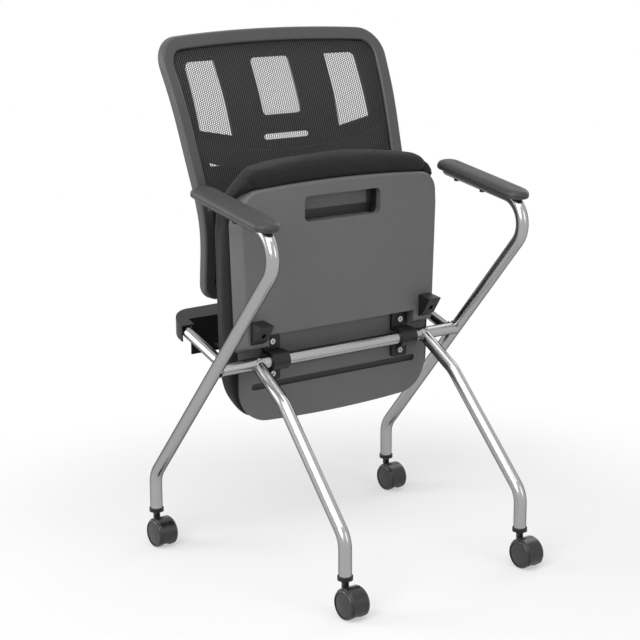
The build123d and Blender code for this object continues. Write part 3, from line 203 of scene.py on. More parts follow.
# %% [markdown]
# Sprayed metallic paint is a layer of fine aluminium flakes under a slightly rippled skin.  The
# ripple, called orange peel, blurs a highlight along a tube, and handling leaves faint lengthwise
# rubs.  The tubes and the dark bars both have it, in their own colours.

# %% Shared effect: sprayed paint
def make_sprayed_paint():
    """Flake tint, rubbed roughness and the height of orange peel, in object space."""
    group, takes, gives = effect(
        "sprayed_paint",
        [("Colour", COLOR, None), ("Flake", FLOAT, 0.2), ("Roughness", FLOAT, 0.3),
         ("Rubbing", FLOAT, 0.12)],
        [("Colour", COLOR), ("Roughness", FLOAT), ("Height", FLOAT)],
    )
    place = put(group, "ShaderNodeTexCoord").outputs["Object"]
    flakes = put(group, "ShaderNodeTexVoronoi", {"Vector": place, "Scale": 2400.0})
    sparkle = put(group, "ShaderNodeSeparateColor", {0: flakes.outputs["Color"]})
    value = compute(group, "ADD", swing(group, sparkle.outputs[0], takes["Flake"]), 1.0)
    tint = put(group, "ShaderNodeHueSaturation", {"Value": value, "Color": takes["Colour"]})
    group.links.new(tint.outputs[0], gives["Colour"])
    rubs = put(group, "ShaderNodeTexNoise", {"Vector": place, "Scale": 22.0, "Detail": 7.0})
    rubs = swing(group, rubs.outputs["Fac"], takes["Rubbing"])
    group.links.new(compute(group, "ADD", takes["Roughness"], rubs, clamp=True),
                    gives["Roughness"])
    peel = put(group, "ShaderNodeTexNoise", {"Vector": place, "Scale": 320.0, "Detail": 1.0})
    group.links.new(peel.outputs["Fac"], gives["Height"])
    return group


sprayed_paint = make_sprayed_paint()
print("group:", sprayed_paint.name)

# %% [markdown]
# Every finish below starts from one Principled BSDF.  `finish` makes the material, sets the
# values that are the same all over on the shader's own sockets, and leaves the rest to wires.

# %% A bare finish
def finish(name, **plain):
    """A material with one Principled BSDF; plain values use its socket names."""
    material = bpy.data.materials.new(name)
    material.use_nodes = True
    tree = material.node_tree
    shader = tree.nodes["Principled BSDF"]
    for label, value in plain.items():
        shader.inputs[label.replace("_", " ")].default_value = value
    return material, tree, shader


def grey(value):
    """A neutral colour."""
    return (value, value, value, 1.0)


def use_group(tree, group, **values):
    """A shared effect placed in a material with its own values."""
    placed = put(tree, "ShaderNodeGroup", node_tree=group)
    for label, value in values.items():
        label = label.replace("_", " ")
        if isinstance(value, bpy.types.NodeSocket):
            tree.links.new(value, placed.inputs[label])
        else:
            placed.inputs[label].default_value = value
    return placed.outputs


def relief(tree, shader, height, depth, strength=1.0):
    """A Bump node of a real depth in metres between a height and the shader's Normal."""
    bump = put(tree, "ShaderNodeBump",
               {"Height": height, "Distance": depth, "Strength": strength})
    tree.links.new(bump.outputs[0], shader.inputs["Normal"])


# %% [markdown]
# The plastics differ in colour, in the size of their grain and in gloss: the pan's and the
# ring's grains are coarse enough to see, the casters' nylon is nearly smooth.

# %% Moulded plastics
def moulded(name, colour, scale, roughness, uneven=0.12, polish=0.12, depth=0.00012, **plain):
    """A plastic with a moulded grain."""
    material, tree, shader = finish(name, **plain)
    grain = use_group(tree, moulded_grain, Colour=colour, Grain_Scale=scale,
                      Unevenness=uneven, Roughness=roughness, Polish=polish)
    tree.links.new(grain["Colour"], shader.inputs["Base Color"])
    tree.links.new(grain["Roughness"], shader.inputs["Roughness"])
    relief(tree, shader, grain["Height"], depth)
    return material


pan_plastic = moulded("seat_pan_plastic", grey(0.090), 900.0, 0.50, uneven=0.08)
ring_plastic = moulded("back_ring_plastic", grey(0.040), 1100.0, 0.40, depth=0.00008)
black_plastic = moulded("black_moulding", grey(0.008), 1000.0, 0.42, Specular_IOR_Level=0.3)
shell_plastic = moulded("back_shell_plastic", grey(0.008), 1000.0, 0.55,
                        Specular_IOR_Level=0.25)
pad_skin = moulded("arm_pad_skin", grey(0.028), 700.0, 0.48, depth=0.0001,
                   Specular_IOR_Level=0.4)
hood_nylon = moulded("caster_hood_nylon", grey(0.012), 1500.0, 0.24, depth=0.00002)
wheel_nylon = moulded("caster_wheel_nylon", grey(0.015), 1500.0, 0.24, depth=0.00002)
print("plastics:", [m.name for m in bpy.data.materials if m.name.endswith(("plastic", "nylon"))])

# %% [markdown]
# Three narrow places of the pan look almost black, because hardly any light gets into them: the
# finger slot along the hand recess, that recess's two ends, and the slot above the pan's tail.
# The even light of a studio would show their floors, so the pan's colour is multiplied by a
# small share inside a box round each.  A box is given for the left half, and the shader reads
# the size of x alone, so the right half has it too.

# %% Deep places of the pan
FINGER_SLOT = ((-0.001, 0.0455, 0.590), (0.082, 0.0550, 0.6125))
RECESS_ENDS = ((0.067, 0.0340, 0.590), (0.0825, 0.0550, 0.6420))
TAIL_SLOT = ((-0.001, 0.0475, 0.3095), (0.1785, 0.0560, 0.3215))
BOX_EDGE = 0.0008  # inside a box, the darkening is full from this distance on


def darken_box(material, box, share):
    """Multiplies the base colour by share inside a box (low, high) and its mirror image."""
    low, high = box
    tree = material.node_tree
    shader = tree.nodes["Principled BSDF"]
    colour = shader.inputs["Base Color"].links[0].from_socket
    place = put(tree, "ShaderNodeTexCoord").outputs["Object"]
    centre = [(a + b) / 2 for a, b in zip(low, high)]
    half = [(b - a) / 2 for a, b in zip(low, high)]
    off = put(tree, "ShaderNodeVectorMath", {0: place}, operation="ABSOLUTE")
    off = put(tree, "ShaderNodeVectorMath", {0: off.outputs[0], 1: centre}, operation="SUBTRACT")
    off = put(tree, "ShaderNodeVectorMath", {0: off.outputs[0]}, operation="ABSOLUTE")
    off = put(tree, "ShaderNodeVectorMath", {0: off.outputs[0], 1: half}, operation="SUBTRACT")
    off = put(tree, "ShaderNodeSeparateXYZ", {0: off.outputs[0]}).outputs
    worst = compute(tree, "MAXIMUM", compute(tree, "MAXIMUM", off[0], off[1]), off[2])
    value = put(tree, "ShaderNodeMapRange",
                {"Value": worst, "From Min": -BOX_EDGE, "From Max": 0.0,
                 "To Min": share, "To Max": 1.0})
    tint = put(tree, "ShaderNodeHueSaturation", {"Value": value.outputs[0], "Color": colour})
    tree.links.new(tint.outputs[0], shader.inputs["Base Color"])


for box, share in ((FINGER_SLOT, 0.04), (RECESS_ENDS, 0.10), (TAIL_SLOT, 0.04)):
    darken_box(pan_plastic, box, share)
print("the pan's finish has", len(pan_plastic.node_tree.nodes), "nodes")

# %% [markdown]
# The tubes are sprayed silver.  A metal shader whose edge tint is darker than its face gives the
# dark outlines that such paint has at a grazing look, and the softboxes draw the long highlights.

# %% Painted and plated steel
ORANGE_PEEL = 0.000012  # depth of the paint's ripple


def sprayed(name, colour, roughness, flake, **plain):
    """Steel under metallic paint."""
    material, tree, shader = finish(name, **plain)
    paint = use_group(tree, sprayed_paint, Colour=colour, Flake=flake, Roughness=roughness)
    tree.links.new(paint["Colour"], shader.inputs["Base Color"])
    tree.links.new(paint["Roughness"], shader.inputs["Roughness"])
    relief(tree, shader, paint["Height"], ORANGE_PEEL)
    return material


tube_silver = sprayed("tube_silver_paint", grey(0.38), 0.22, 0.05, Metallic=1.0,
                      Specular_Tint=grey(0.15))
bar_black = sprayed("bar_black_paint", grey(0.02), 0.4, 0.1)
zinc = sprayed("zinc_plate", grey(0.42), 0.3, 0.1, Metallic=1.0, Specular_Tint=grey(0.5))
weld_silver = sprayed("weld_silver_paint", grey(0.33), 0.33, 0.2, Metallic=1.0,
                      Specular_Tint=grey(0.4))
print("steel:", [m.name for m in (tube_silver, bar_black, zinc, weld_silver)])

# %% [markdown]
# The seat board is hidden under the cushion, but its edge can be seen at some angles: plywood
# under a thin black stain, with the grain drawn out along the board's width.

# %% Stained plywood of the seat board
def make_plywood():
    """Plywood under a black stain that lets some of the grain through."""
    material, tree, shader = finish("seat_board_plywood", Roughness=0.7)
    place = put(tree, "ShaderNodeTexCoord").outputs["Object"]
    stretched = put(tree, "ShaderNodeMapping", {"Vector": place, "Scale": (6.0, 900.0, 60.0)})
    grain = put(tree, "ShaderNodeTexNoise", {"Vector": stretched.outputs[0], "Detail": 6.0})
    stain = put(tree, "ShaderNodeMix", {0: grain.outputs["Fac"]}, data_type="RGBA")
    stain.inputs[6].default_value = (0.010, 0.009, 0.008, 1.0)
    stain.inputs[7].default_value = (0.032, 0.028, 0.024, 1.0)
    tree.links.new(stain.outputs[2], shader.inputs["Base Color"])
    relief(tree, shader, grain.outputs["Fac"], 0.0002)
    return material


plywood = make_plywood()

# %% [markdown]
# Upholstery cloth is matt, with a faint sheen where light grazes its fibres.  The weave comes
# from the shared group on the piece's own UV map, which is laid out in metres.

# %% Upholstery
def make_upholstery():
    """Black plain-weave cloth."""
    material, tree, shader = finish("black_upholstery", Roughness=0.85, Sheen_Weight=0.10,
                                    Sheen_Roughness=0.4, Specular_IOR_Level=0.15)
    cloth = put(tree, "ShaderNodeUVMap", uv_map="cloth").outputs[0]
    weave = use_group(tree, thread_weave, Cloth=cloth, Pitch=0.0013, Fuzz=0.35)
    place = put(tree, "ShaderNodeTexCoord").outputs["Object"]
    clouds = put(tree, "ShaderNodeTexNoise", {"Vector": place, "Scale": 18.0, "Detail": 4.0})
    soft = put(tree, "ShaderNodeMapRange",
               {"Value": clouds.outputs["Fac"], "To Min": 0.8, "To Max": 1.2})
    # Painted shade from the weave, darker between the threads, times an uneven tone.
    value = compute(tree, "MULTIPLY", weave["Shade"], soft.outputs[0])
    tint = put(tree, "ShaderNodeHueSaturation", {"Value": value, "Color": grey(0.012)})
    tree.links.new(tint.outputs[0], shader.inputs["Base Color"])
    relief(tree, shader, weave["Height"], 0.0003)
    return material


upholstery = make_upholstery()

# %% [markdown]
# The back's mesh is knitted: upright ribs of yarn with small holes in staggered rows between
# them.  The holes are really open here.  The shader's Alpha is 0 inside an oval about each
# hole's centre, so the windows of the shell behind show through, from either side.

# %% Open knit of the back
RIB_PITCH, ROW_PITCH = 0.0042, 0.0034
TIGHT_ACROSS, TIGHT_UP = 2.6, 2.5  # pitch divided by the hole's half width and half height


def make_open_knit():
    """Black mesh with real holes, on a UV map in metres."""
    material, tree, shader = finish("black_open_knit", Roughness=0.6, Specular_IOR_Level=0.3)
    cloth = put(tree, "ShaderNodeUVMap", uv_map="cloth").outputs[0]
    parts = put(tree, "ShaderNodeSeparateXYZ", {0: cloth})
    rib = compute(tree, "DIVIDE", parts.outputs["X"], RIB_PITCH)
    lift = compute(tree, "MULTIPLY", compute(tree, "FLOOR", rib), 0.5)
    row = compute(tree, "ADD", compute(tree, "DIVIDE", parts.outputs["Y"], ROW_PITCH), lift)
    side = compute(tree, "SUBTRACT", compute(tree, "FRACT", rib), 0.5)
    rise = compute(tree, "SUBTRACT", compute(tree, "FRACT", row), 0.5)
    side = compute(tree, "POWER", compute(tree, "MULTIPLY", side, TIGHT_ACROSS), 2.0)
    rise = compute(tree, "POWER", compute(tree, "MULTIPLY", rise, TIGHT_UP), 2.0)
    reach = compute(tree, "ADD", side, rise)
    yarn = put(tree, "ShaderNodeMapRange",
               {"Value": reach, "From Min": 0.8, "From Max": 1.0, "To Min": 0.0, "To Max": 1.0})
    tree.links.new(yarn.outputs[0], shader.inputs["Alpha"])
    twist = put(tree, "ShaderNodeTexNoise", {"Vector": cloth, "Scale": 900.0, "Detail": 3.0})
    value = put(tree, "ShaderNodeMapRange",
                {"Value": twist.outputs["Fac"], "To Min": 0.4, "To Max": 1.6})
    # Painted shade: each rib is lighter along its middle and darker in the columns of holes, where
    # the yarn lies lower.
    rib_painted_shade = put(tree, "ShaderNodeMapRange", {"Value": side, "To Min": 0.75, "To Max": 1.5})
    value = compute(tree, "MULTIPLY", value.outputs[0], rib_painted_shade.outputs[0])
    tint = put(tree, "ShaderNodeHueSaturation", {"Value": value, "Color": grey(0.034)})
    tree.links.new(tint.outputs[0], shader.inputs["Base Color"])
    relief(tree, shader, reach, 0.0004)
    return material


open_knit = make_open_knit()
print("cloth:", [m.name for m in (upholstery, open_knit)])

# %% [markdown]
# Each rigid node keeps its shape and trades its plain colour for one of these finishes.

# %% Finishes for the rigid nodes
wears = {
    "side_frame": tube_silver, "front_leg": tube_silver, "seat_cross_tube": tube_silver,
    "rear_u_tube": tube_silver, "back_bar": bar_black, "caster_sockets": black_plastic,
    "caster_stems": zinc, "arm_pad": pad_skin, "arm_tube_plugs": black_plastic,
    "arm_pad_screws": bar_black, "rear_cover": black_plastic, "rear_cover_screws": zinc,
    "back_ring_frame": ring_plastic, "mesh_welt": black_plastic, "back_mesh": open_knit,
    "back_shell": shell_plastic, "lumbar_band": black_plastic, "shell_screws": zinc,
    "seat_pan": pan_plastic, "seat_board": plywood, "seat_cushion": upholstery,
    "tee_nuts": zinc, "clamp_screws": zinc, "hinge_clamp": black_plastic,
    "rest_block": black_plastic, "rest_block_screws": zinc, "caster_hood": hood_nylon,
    "caster_axle": zinc, "caster_wheel": wheel_nylon,
}


def finish_of(name):
    """The finish of the longest key that the node's name starts with."""
    return wears[max((key for key in wears if name.startswith(key)), key=len)]


for name, piece in nodes.items():
    piece.data.materials.clear()
    piece.data.materials.append(finish_of(name))
print("dressed nodes:", len(nodes))

# %% [markdown]
# New pieces need a few helpers of their own: one makes an object from points and faces, and one
# lays out a UV map in metres from the direction that each face looks in, so that cloth has
# threads of the same size on every side.

# %% Mesh helpers
def piece_from(name, points, faces, material, smooth=True):
    """An object at the origin whose place is in its mesh."""
    mesh = bpy.data.meshes.new(name)
    mesh.from_pydata([tuple(p) for p in points], [], faces)
    mesh.update()
    mesh.materials.append(material)
    made = bpy.data.objects.new(name, mesh)
    scene.collection.objects.link(made)
    if smooth:
        mesh.shade_smooth()
    return made


def cloth_map(piece):
    """A UV map in metres, box-projected on X, Y or Z by each face's direction."""
    mesh = piece.data
    layer = mesh.uv_layers.new(name="cloth")
    normals = np.array([p.normal for p in mesh.polygons])
    main = np.abs(normals).argmax(1)
    places = np.array([v.co for v in mesh.vertices])
    flat = np.zeros((len(mesh.loops), 2), np.float32)
    keep = ([1, 2], [0, 2], [0, 1])  # the two axes that are left beside each main one
    for face, axis in zip(mesh.polygons, main):
        for loop in face.loop_indices:
            flat[loop] = places[mesh.loops[loop].vertex_index][keep[axis]]
    layer.data.foreach_set("uv", flat.ravel())


def settle(piece):
    """Applies the piece's modifiers and leaves a plain mesh."""
    bpy.context.view_layer.update()
    graph = bpy.context.evaluated_depsgraph_get()
    plain = bpy.data.meshes.new_from_object(piece.evaluated_get(graph))
    piece.modifiers.clear()
    piece.data = plain
    return piece


# %% [markdown]
# The seat cushion is a slab of foam in a cloth that is pulled round it and stapled under the
# board.  Its solid gives the form, but a real one swells between its edges.  So a copy is
# remeshed evenly and blown up by Blender's Cloth with a small pressure, while its underside stays
# pinned to the board and its roll to the end of the pan.  Of the cloth's move only the part along
# the surface's normal is kept, between two limits, so that the edges stay where the foam is.
# All sizes below are in metres, and across is the distance from the chair's middle plane.

# %% Cushion: what holds the cloth
UNDER = 0.0515  # depth of the cushion's flat underside
PAN_SIDE, PAN_TOP, PAN_CORNER = 0.206, 0.660, 0.036  # half width, top and corner radius
RIM_TOP = 0.641  # up to here the whole underside rests on the pan's rim
TUCK = 0.0045  # above it, cloth is held up to this far beyond the pan's outline
# The board's pocket in the foam: half width, heights of its ends, and depths
BOARD_HALF, BOARD_ENDS, BOARD_DEPTHS = 0.207, (0.257, 0.670), (0.047, 0.0625)


def off_pan(across, up):
    """Distance from the pan's round top corners and the edges beside them; negative inside."""
    beside = np.maximum(across - (PAN_SIDE - PAN_CORNER), 0.0)
    above = np.maximum(up - (PAN_TOP - PAN_CORNER), 0.0)
    return np.hypot(beside, above) - PAN_CORNER


def between(values, ends):
    """True where a value is between two ends."""
    return (values > ends[0]) & (values < ends[1])


def is_held(places):
    """True for points that rest on the pan's rim, touch its top end or lie on the board."""
    across, depth, up = np.abs(places[:, 0]), places[:, 1], places[:, 2]
    on_pan = (depth < UNDER) & ((up < RIM_TOP) | (off_pan(across, up) < TUCK))
    on_board = (across < BOARD_HALF) & between(up, BOARD_ENDS) & between(depth, BOARD_DEPTHS)
    return on_pan | on_board


def smooth_free(piece, share):
    """One round of smoothing on the points that nothing holds."""
    mesh = piece.data
    places = np.array([v.co for v in mesh.vertices])
    ends = np.array([e.vertices for e in mesh.edges])
    total = np.zeros_like(places)
    count = np.zeros(len(places))
    for a, b in ((0, 1), (1, 0)):
        np.add.at(total, ends[:, a], places[ends[:, b]])
        np.add.at(count, ends[:, a], 1)
    free = ~is_held(places)
    moved = places + share * (total / count[:, None] - places)
    places[free] = moved[free]
    mesh.vertices.foreach_set("co", places.astype(np.float32).ravel())
    mesh.update()


# %% Cushion: an even copy to start from
CELL = 0.0058  # size of the even mesh's squares
SMOOTHING = 0.5


def start_cushion():
    """The cushion's solid, merged, remeshed and smoothed a little."""
    start = bpy.data.objects.new("seat_cushion_cover", nodes["seat_cushion"].data.copy())
    scene.collection.objects.link(start)
    shape = bmesh.new()
    shape.from_mesh(start.data)
    bmesh.ops.remove_doubles(shape, verts=shape.verts, dist=1e-5)
    shape.to_mesh(start.data)
    shape.free()
    even = start.modifiers.new("even", "REMESH")
    even.mode, even.voxel_size, even.adaptivity = "VOXEL", CELL, 0.0
    settle(start)
    for _ in range(2):
        smooth_free(start, SMOOTHING)
    return start


cushion = start_cushion()
print("cushion starts with", len(cushion.data.vertices), "points")

# %% Cushion: swell it with pressure
PRESSURE, STIFFNESS, FRAMES = 1.5, 20.0, 20
LEAST, MOST = -0.0005, 0.005  # limits of the move along the normal that is kept


def swell(piece, least, most):
    """Cloth with pressure and no gravity; points move along their normals, least to most.

    Gives the largest rise before the limits and the mean rise that is kept.
    """
    before = np.array([v.co for v in piece.data.vertices])
    held = piece.vertex_groups.new(name="held")
    held.add([int(i) for i in np.flatnonzero(is_held(before))], 1.0, "REPLACE")
    cloth = piece.modifiers.new("swell", "CLOTH")
    cloth.settings.use_pressure = True
    cloth.settings.uniform_pressure_force = PRESSURE
    cloth.settings.effector_weights.gravity = 0.0
    cloth.settings.vertex_group_mass = "held"
    cloth.settings.tension_stiffness = cloth.settings.compression_stiffness = STIFFNESS
    cloth.settings.quality = 6
    cloth.collision_settings.use_collision = False
    cloth.point_cache.frame_start, cloth.point_cache.frame_end = 1, FRAMES
    for step in range(1, FRAMES + 1):
        scene.frame_set(step)
    graph = bpy.context.evaluated_depsgraph_get()
    after = np.array([v.co for v in piece.evaluated_get(graph).data.vertices])
    out = np.array([v.normal for v in piece.data.vertices])
    rise = ((after - before) * out).sum(1)
    kept = np.clip(rise, least, most)
    piece.modifiers.clear()
    piece.vertex_groups.clear()
    scene.frame_set(1)
    moved = before + out * kept[:, None]
    piece.data.vertices.foreach_set("co", moved.astype(np.float32).ravel())
    piece.data.update()
    return float(rise.max()), float(kept.mean())


furthest, usual = swell(cushion, LEAST, MOST)
smooth_free(cushion, SMOOTHING)
print("cloth rose by up to", round(furthest * 1000, 1), "mm before the limit;",
      "mean that is kept", round(usual * 1000, 1), "mm")

# %% [markdown]
# Cloth that turns a rounded corner has too much edge, and gathers in small pleats there.  They
# start at the pan's top corners, where the cloth is tucked in, and run out over the roll.

# %% Cushion: finer mesh and pleats at the corners
PLEAT_CENTRE = (0.161, 0.630)  # across and up: the pleats run out from here
PLEAT_DEPTH = 0.0022
PLEAT_RATE = 14.0  # phase of the pleats' wave for each radian about the centre


def ramp(values, zero, one):
    """0 up to zero, 1 from one on, and straight between; zero may be the larger."""
    return np.clip((values - zero) / (one - zero), 0, 1)


def pleat(piece, depth):
    """Small radial pleats round the two corners of the roll, fading towards the sitting face."""
    mesh = piece.data
    places = np.array([v.co for v in mesh.vertices])
    normals = np.array([v.normal for v in mesh.vertices])
    across = np.abs(places[:, 0]) - PLEAT_CENTRE[0]
    up = places[:, 2] - PLEAT_CENTRE[1]
    angle = np.arctan2(up, across)
    out = np.hypot(up, across)
    turn = ramp(angle, 0.20, 0.40) * ramp(angle, 1.45, 1.25)
    rim = ramp(out, 0.028, 0.036) * ramp(out, 0.060, 0.048)
    face = ramp(places[:, 1], 0.060, 0.040)
    uneven = 1.3 * np.sin(3.1 * angle)
    wave = 0.5 + 0.5 * np.sin(PLEAT_RATE * angle + uneven)
    places -= normals * (depth * turn * rim * face * wave ** 4)[:, None]
    mesh.vertices.foreach_set("co", places.astype(np.float32).ravel())
    mesh.update()


finer = cushion.modifiers.new("finer", "SUBSURF")
finer.levels = finer.render_levels = 1
settle(cushion)
pleat(cushion, PLEAT_DEPTH)
cloth_map(cushion)
cushion.data.materials.clear()
cushion.data.materials.append(upholstery)
cushion.data.shade_smooth()
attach(cushion, "seat")
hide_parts("seat_cushion")
print("cushion has", len(cushion.data.polygons), "faces")

# %% [markdown]
# The back's mesh is one layer of knit stretched in the ring.  Its surface is part of a slow
# barrel: at every height it is an arc about the same upright axis.  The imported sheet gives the
# arc's radius at each height, so the new one is a flat pattern of triangles laid on it.

# %% Mesh of the back: the surface
BOW_AXIS_Y = -1.6435  # the upright axis that the back is bowed about
RING_INSIDE = 0.0215  # how far the mesh's edge is inside the ring's outline
sheet_points = np.array([v.co for v in nodes["back_mesh"].data.vertices])
reach = np.hypot(sheet_points[:, 0], sheet_points[:, 1] - BOW_AXIS_Y)
heights = np.unique(np.round(sheet_points[:, 2], 4))
middle = np.array([reach[np.abs(sheet_points[:, 2] - z) < 0.0002].mean() for z in heights])
print("sheet heights:", len(heights),
      "radius from", middle.min().round(4), "to", middle.max().round(4))


def on_back(x, z):
    """The point of the mesh's surface at x and z."""
    radius = np.interp(z, heights, middle)
    return (x, BOW_AXIS_Y + math.sqrt(radius ** 2 - x ** 2), z)


# %% Mesh of the back: its outline and triangles
RING_LOW = (0.212, 0.455)  # half width and height of the ring's outline at its lower corners
RING_HIGH = (0.241, 0.896)  # the same at its upper corners
RING_TOP = 0.905  # the outline's height in the middle
RING_RADII = (0.030, 0.048)  # of the lower and the upper corners


def back_edge(inset, steps=14):
    """The back's outline seen from the front, moved in by inset: counterclockwise points."""
    (low_x, low_z), (top_x, side_z) = RING_LOW, RING_HIGH
    low_r, top_r = RING_RADII[0] - inset, RING_RADII[1] - inset
    crown_from = math.pi / 2 - 0.06  # where the upper corner runs into the crown
    lean = (top_x - low_x) / (side_z - low_z)
    points = []
    corner = (low_x - inset - low_r, low_z + inset + low_r)
    for turn in np.linspace(-math.pi / 2, math.atan(-lean), steps):
        points.append((corner[0] + low_r * math.cos(turn), corner[1] + low_r * math.sin(turn)))
    corner = (top_x - inset - top_r, side_z - inset - top_r)
    for turn in np.linspace(math.atan(-lean), crown_from, steps):
        points.append((corner[0] + top_r * math.cos(turn), corner[1] + top_r * math.sin(turn)))
    start_x, start_z = points[-1]
    for share in np.linspace(0.9, 0.0, 12):
        x = start_x * share
        points.append((x, start_z + (RING_TOP - inset - start_z) * (1 - share ** 2)))
    mirrored = [(-x, z) for x, z in reversed(points[:-1])]
    return points + mirrored


def flat_pattern(edge, pitch):
    """Triangles that fill an outline, with inner points on an even grid."""
    outline = [Vector(p) for p in edge]
    low = [min(p[i] for p in outline) for i in (0, 1)]
    high = [max(p[i] for p in outline) for i in (0, 1)]
    grid = [Vector((x, z)) for x in np.arange(low[0] + pitch / 2, high[0], pitch)
            for z in np.arange(low[1] + pitch / 2, high[1], pitch)]
    loop = list(range(len(outline)))
    found = delaunay_2d_cdt(outline + grid, [], [loop], 1, 1e-6)
    return found[0], found[2]


pattern, triangles = flat_pattern(back_edge(RING_INSIDE), 0.009)
knit = piece_from("back_knit", [on_back(p[0], p[1]) for p in pattern],
                  [tuple(t) for t in triangles], open_knit)
facing_back = sum(p.normal.y * p.area for p in knit.data.polygons) > 0
if facing_back:
    knit.data.flip_normals()
print("knit has", len(knit.data.polygons), "triangles")

# %% Mesh of the back: its own UV map, area and place
def back_map(piece):
    """A UV map in metres: across is the arc's length and up is the length of the back's line."""
    mesh = piece.data
    steps = np.hypot(np.diff(heights), np.diff(middle))
    climbed = np.concatenate([[0.0], np.cumsum(steps)])
    layer = mesh.uv_layers.new(name="cloth")
    for loop in mesh.loops:
        place = mesh.vertices[loop.vertex_index].co
        radius = np.interp(place.z, heights, middle)
        layer.data[loop.index].uv = (radius * math.asin(place.x / radius),
                                     np.interp(place.z, heights, climbed))
    return float(climbed[-1])


climb = back_map(knit)
knit_area = sum(p.area for p in knit.data.polygons)
print("knit's own length in m:", round(climb, 3), "area in m2:", round(knit_area, 4))
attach(knit, "frame")
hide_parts("back_mesh")

# %% [markdown]
# The arm pads are self-skinning foam, cast in one piece: a rounded slab with a thin parting line
# round its side, and a narrower saddle below that grips the tube.  Both are stacks of rings: the
# slab's outline, moved in and lifted step by step, then closed over the top and the bottom.

# %% Arm pads: rings of a rounded slab
ARM_RISE = math.radians(9.3)
SIDE_X = 0.262  # the side frame's plane
ARM_CORNER = Vector((SIDE_X, -0.190, 0.6105))  # where the tube turns from slope to arm
ALONG = Vector((0.0, math.cos(ARM_RISE), math.sin(ARM_RISE)))
ABOVE = Vector((0.0, -math.sin(ARM_RISE), math.cos(ARM_RISE)))


def rounded_ring(front, rear, half, corner, inset, height, steps=9):
    """Counterclockwise points (along, across, height) of a rounded rectangle moved in."""
    radius = max(corner - inset, 0.0003)
    ring = []
    for quarter, (end, side) in enumerate(((rear, 1), (front, 1), (front, -1), (rear, -1))):
        centre_a = end - corner if end == rear else end + corner
        centre_c = side * (half - corner)
        for turn in np.linspace(0, math.pi / 2, steps):
            angle = quarter * math.pi / 2 + turn
            ring.append((centre_a + radius * math.cos(angle),
                         centre_c + radius * math.sin(angle), height))
    return ring


def along_arm(y):
    """Distance along the arm from its corner to depth y."""
    return (y - ARM_CORNER.y) / math.cos(ARM_RISE)


def slab(name, ends, half, corner, profile):
    """A closed slab on the left arm from (inset, height) steps, bottom first."""
    front, rear = (along_arm(y) for y in ends)
    rings = [rounded_ring(front, rear, half, corner, inset, height) for inset, height in profile]
    size = len(rings[0])
    points = [ARM_CORNER + ALONG * a - Vector((1, 0, 0)) * c + ABOVE * h
              for ring in rings for a, c, h in ring]
    faces = []
    for k in range(len(rings) - 1):
        for i in range(size):
            j = (i + 1) % size
            faces.append((k * size + i, k * size + j, (k + 1) * size + j, (k + 1) * size + i))
    last = (len(rings) - 1) * size
    faces.append(tuple(reversed(range(size))))
    faces.append(tuple(last + i for i in range(size)))
    return piece_from(name, points, faces, pad_skin)


# %% Arm pads: slab, saddle and parting line
PAD_ENDS, PAD_HALF, PAD_CORNER = (-0.147, 0.073), 0.025, 0.0235
SADDLE_ENDS, SADDLE_HALF, SADDLE_CORNER = (-0.060, 0.055), 0.017, 0.010
TOP_STEPS = [
    (0.021, 0.0020), (0.006, 0.0020), (0.003, 0.0021), (0.0008, 0.0032), (0.0, 0.0052),
    (0.0, 0.0064), (0.0010, 0.0069), (0.0010, 0.0073), (0.0, 0.0078), (0.0003, 0.0098),
    (0.0014, 0.0122), (0.0034, 0.0145), (0.0062, 0.0162), (0.0100, 0.0173), (0.0150, 0.0178),
    (0.0220, 0.0180),
]
SADDLE_STEPS = [
    (0.008, -0.0040), (0.003, -0.0038), (0.0006, -0.0020), (0.0, 0.0005), (0.0, 0.0040),
]


def arm_pad(side_name, mirror):
    """One arm's pad as one object: slab and saddle."""
    top = slab("arm_rest_" + side_name, PAD_ENDS, PAD_HALF, PAD_CORNER, TOP_STEPS)
    saddle = slab("saddle", SADDLE_ENDS, SADDLE_HALF, SADDLE_CORNER, SADDLE_STEPS)
    shape = bmesh.new()
    shape.from_mesh(top.data)
    shape.from_mesh(saddle.data)
    bpy.data.objects.remove(saddle)
    if mirror:
        bmesh.ops.scale(shape, vec=(-1, 1, 1), verts=shape.verts)
    bmesh.ops.recalc_face_normals(shape, faces=shape.faces)
    shape.to_mesh(top.data)
    shape.free()
    rounder = top.modifiers.new("rounder", "SUBSURF")
    rounder.levels = rounder.render_levels = 1
    settle(top)
    top.data.shade_smooth()
    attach(top, "frame")
    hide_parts("arm_pad_" + side_name)
    return top


pads = [arm_pad("left", False), arm_pad("right", True)]
print("arm pads:", [len(p.data.polygons) for p in pads])

# %% [markdown]
# A weld is a row of small overlapping ripples, one for each pulse of the torch.  They repeat
# along a path, so Geometry Nodes make them: the path is the curve where one tube meets another,
# worked out here, and the tree lays a flattened bead on it at every step.

# %% Welds: the paths where the tubes meet
HINGE = Vector((0.0, 0.024, 0.363))
TUBE_R, U_TUBE_R = 0.0111, 0.0095
LEG_X, U_X = 0.181, 0.240  # where the front leg and the rear tube meet the cross tube
SLOPE_FOOT = Vector((SIDE_X, 0.234, 0.128))  # the lower end of the side frame's sloping run
LEG_AIM = Vector((0.1835, -0.057, 0.3135))  # the front leg's first run goes through it
U_RISE = math.radians(17.6)


def branch_path(start, toward, radius, steps=72):
    """Where a round branch from the cross tube's axis leaves the cross tube's wall."""
    line = (toward - start).normalized()
    one = line.cross(Vector((1, 0, 0))).normalized()
    other = line.cross(one)
    points = []
    for step in range(steps):
        turn = 2 * math.pi * step / steps
        rim = start + radius * (math.cos(turn) * one + math.sin(turn) * other)
        a = line.y ** 2 + line.z ** 2
        b = 2 * ((rim.y - HINGE.y) * line.y + (rim.z - HINGE.z) * line.z)
        c = (rim.y - HINGE.y) ** 2 + (rim.z - HINGE.z) ** 2 - TUBE_R ** 2
        gap = b * b - 4 * a * c
        if gap >= 0:
            points.append(rim + line * ((math.sqrt(gap) - b) / (2 * a)))
    return points


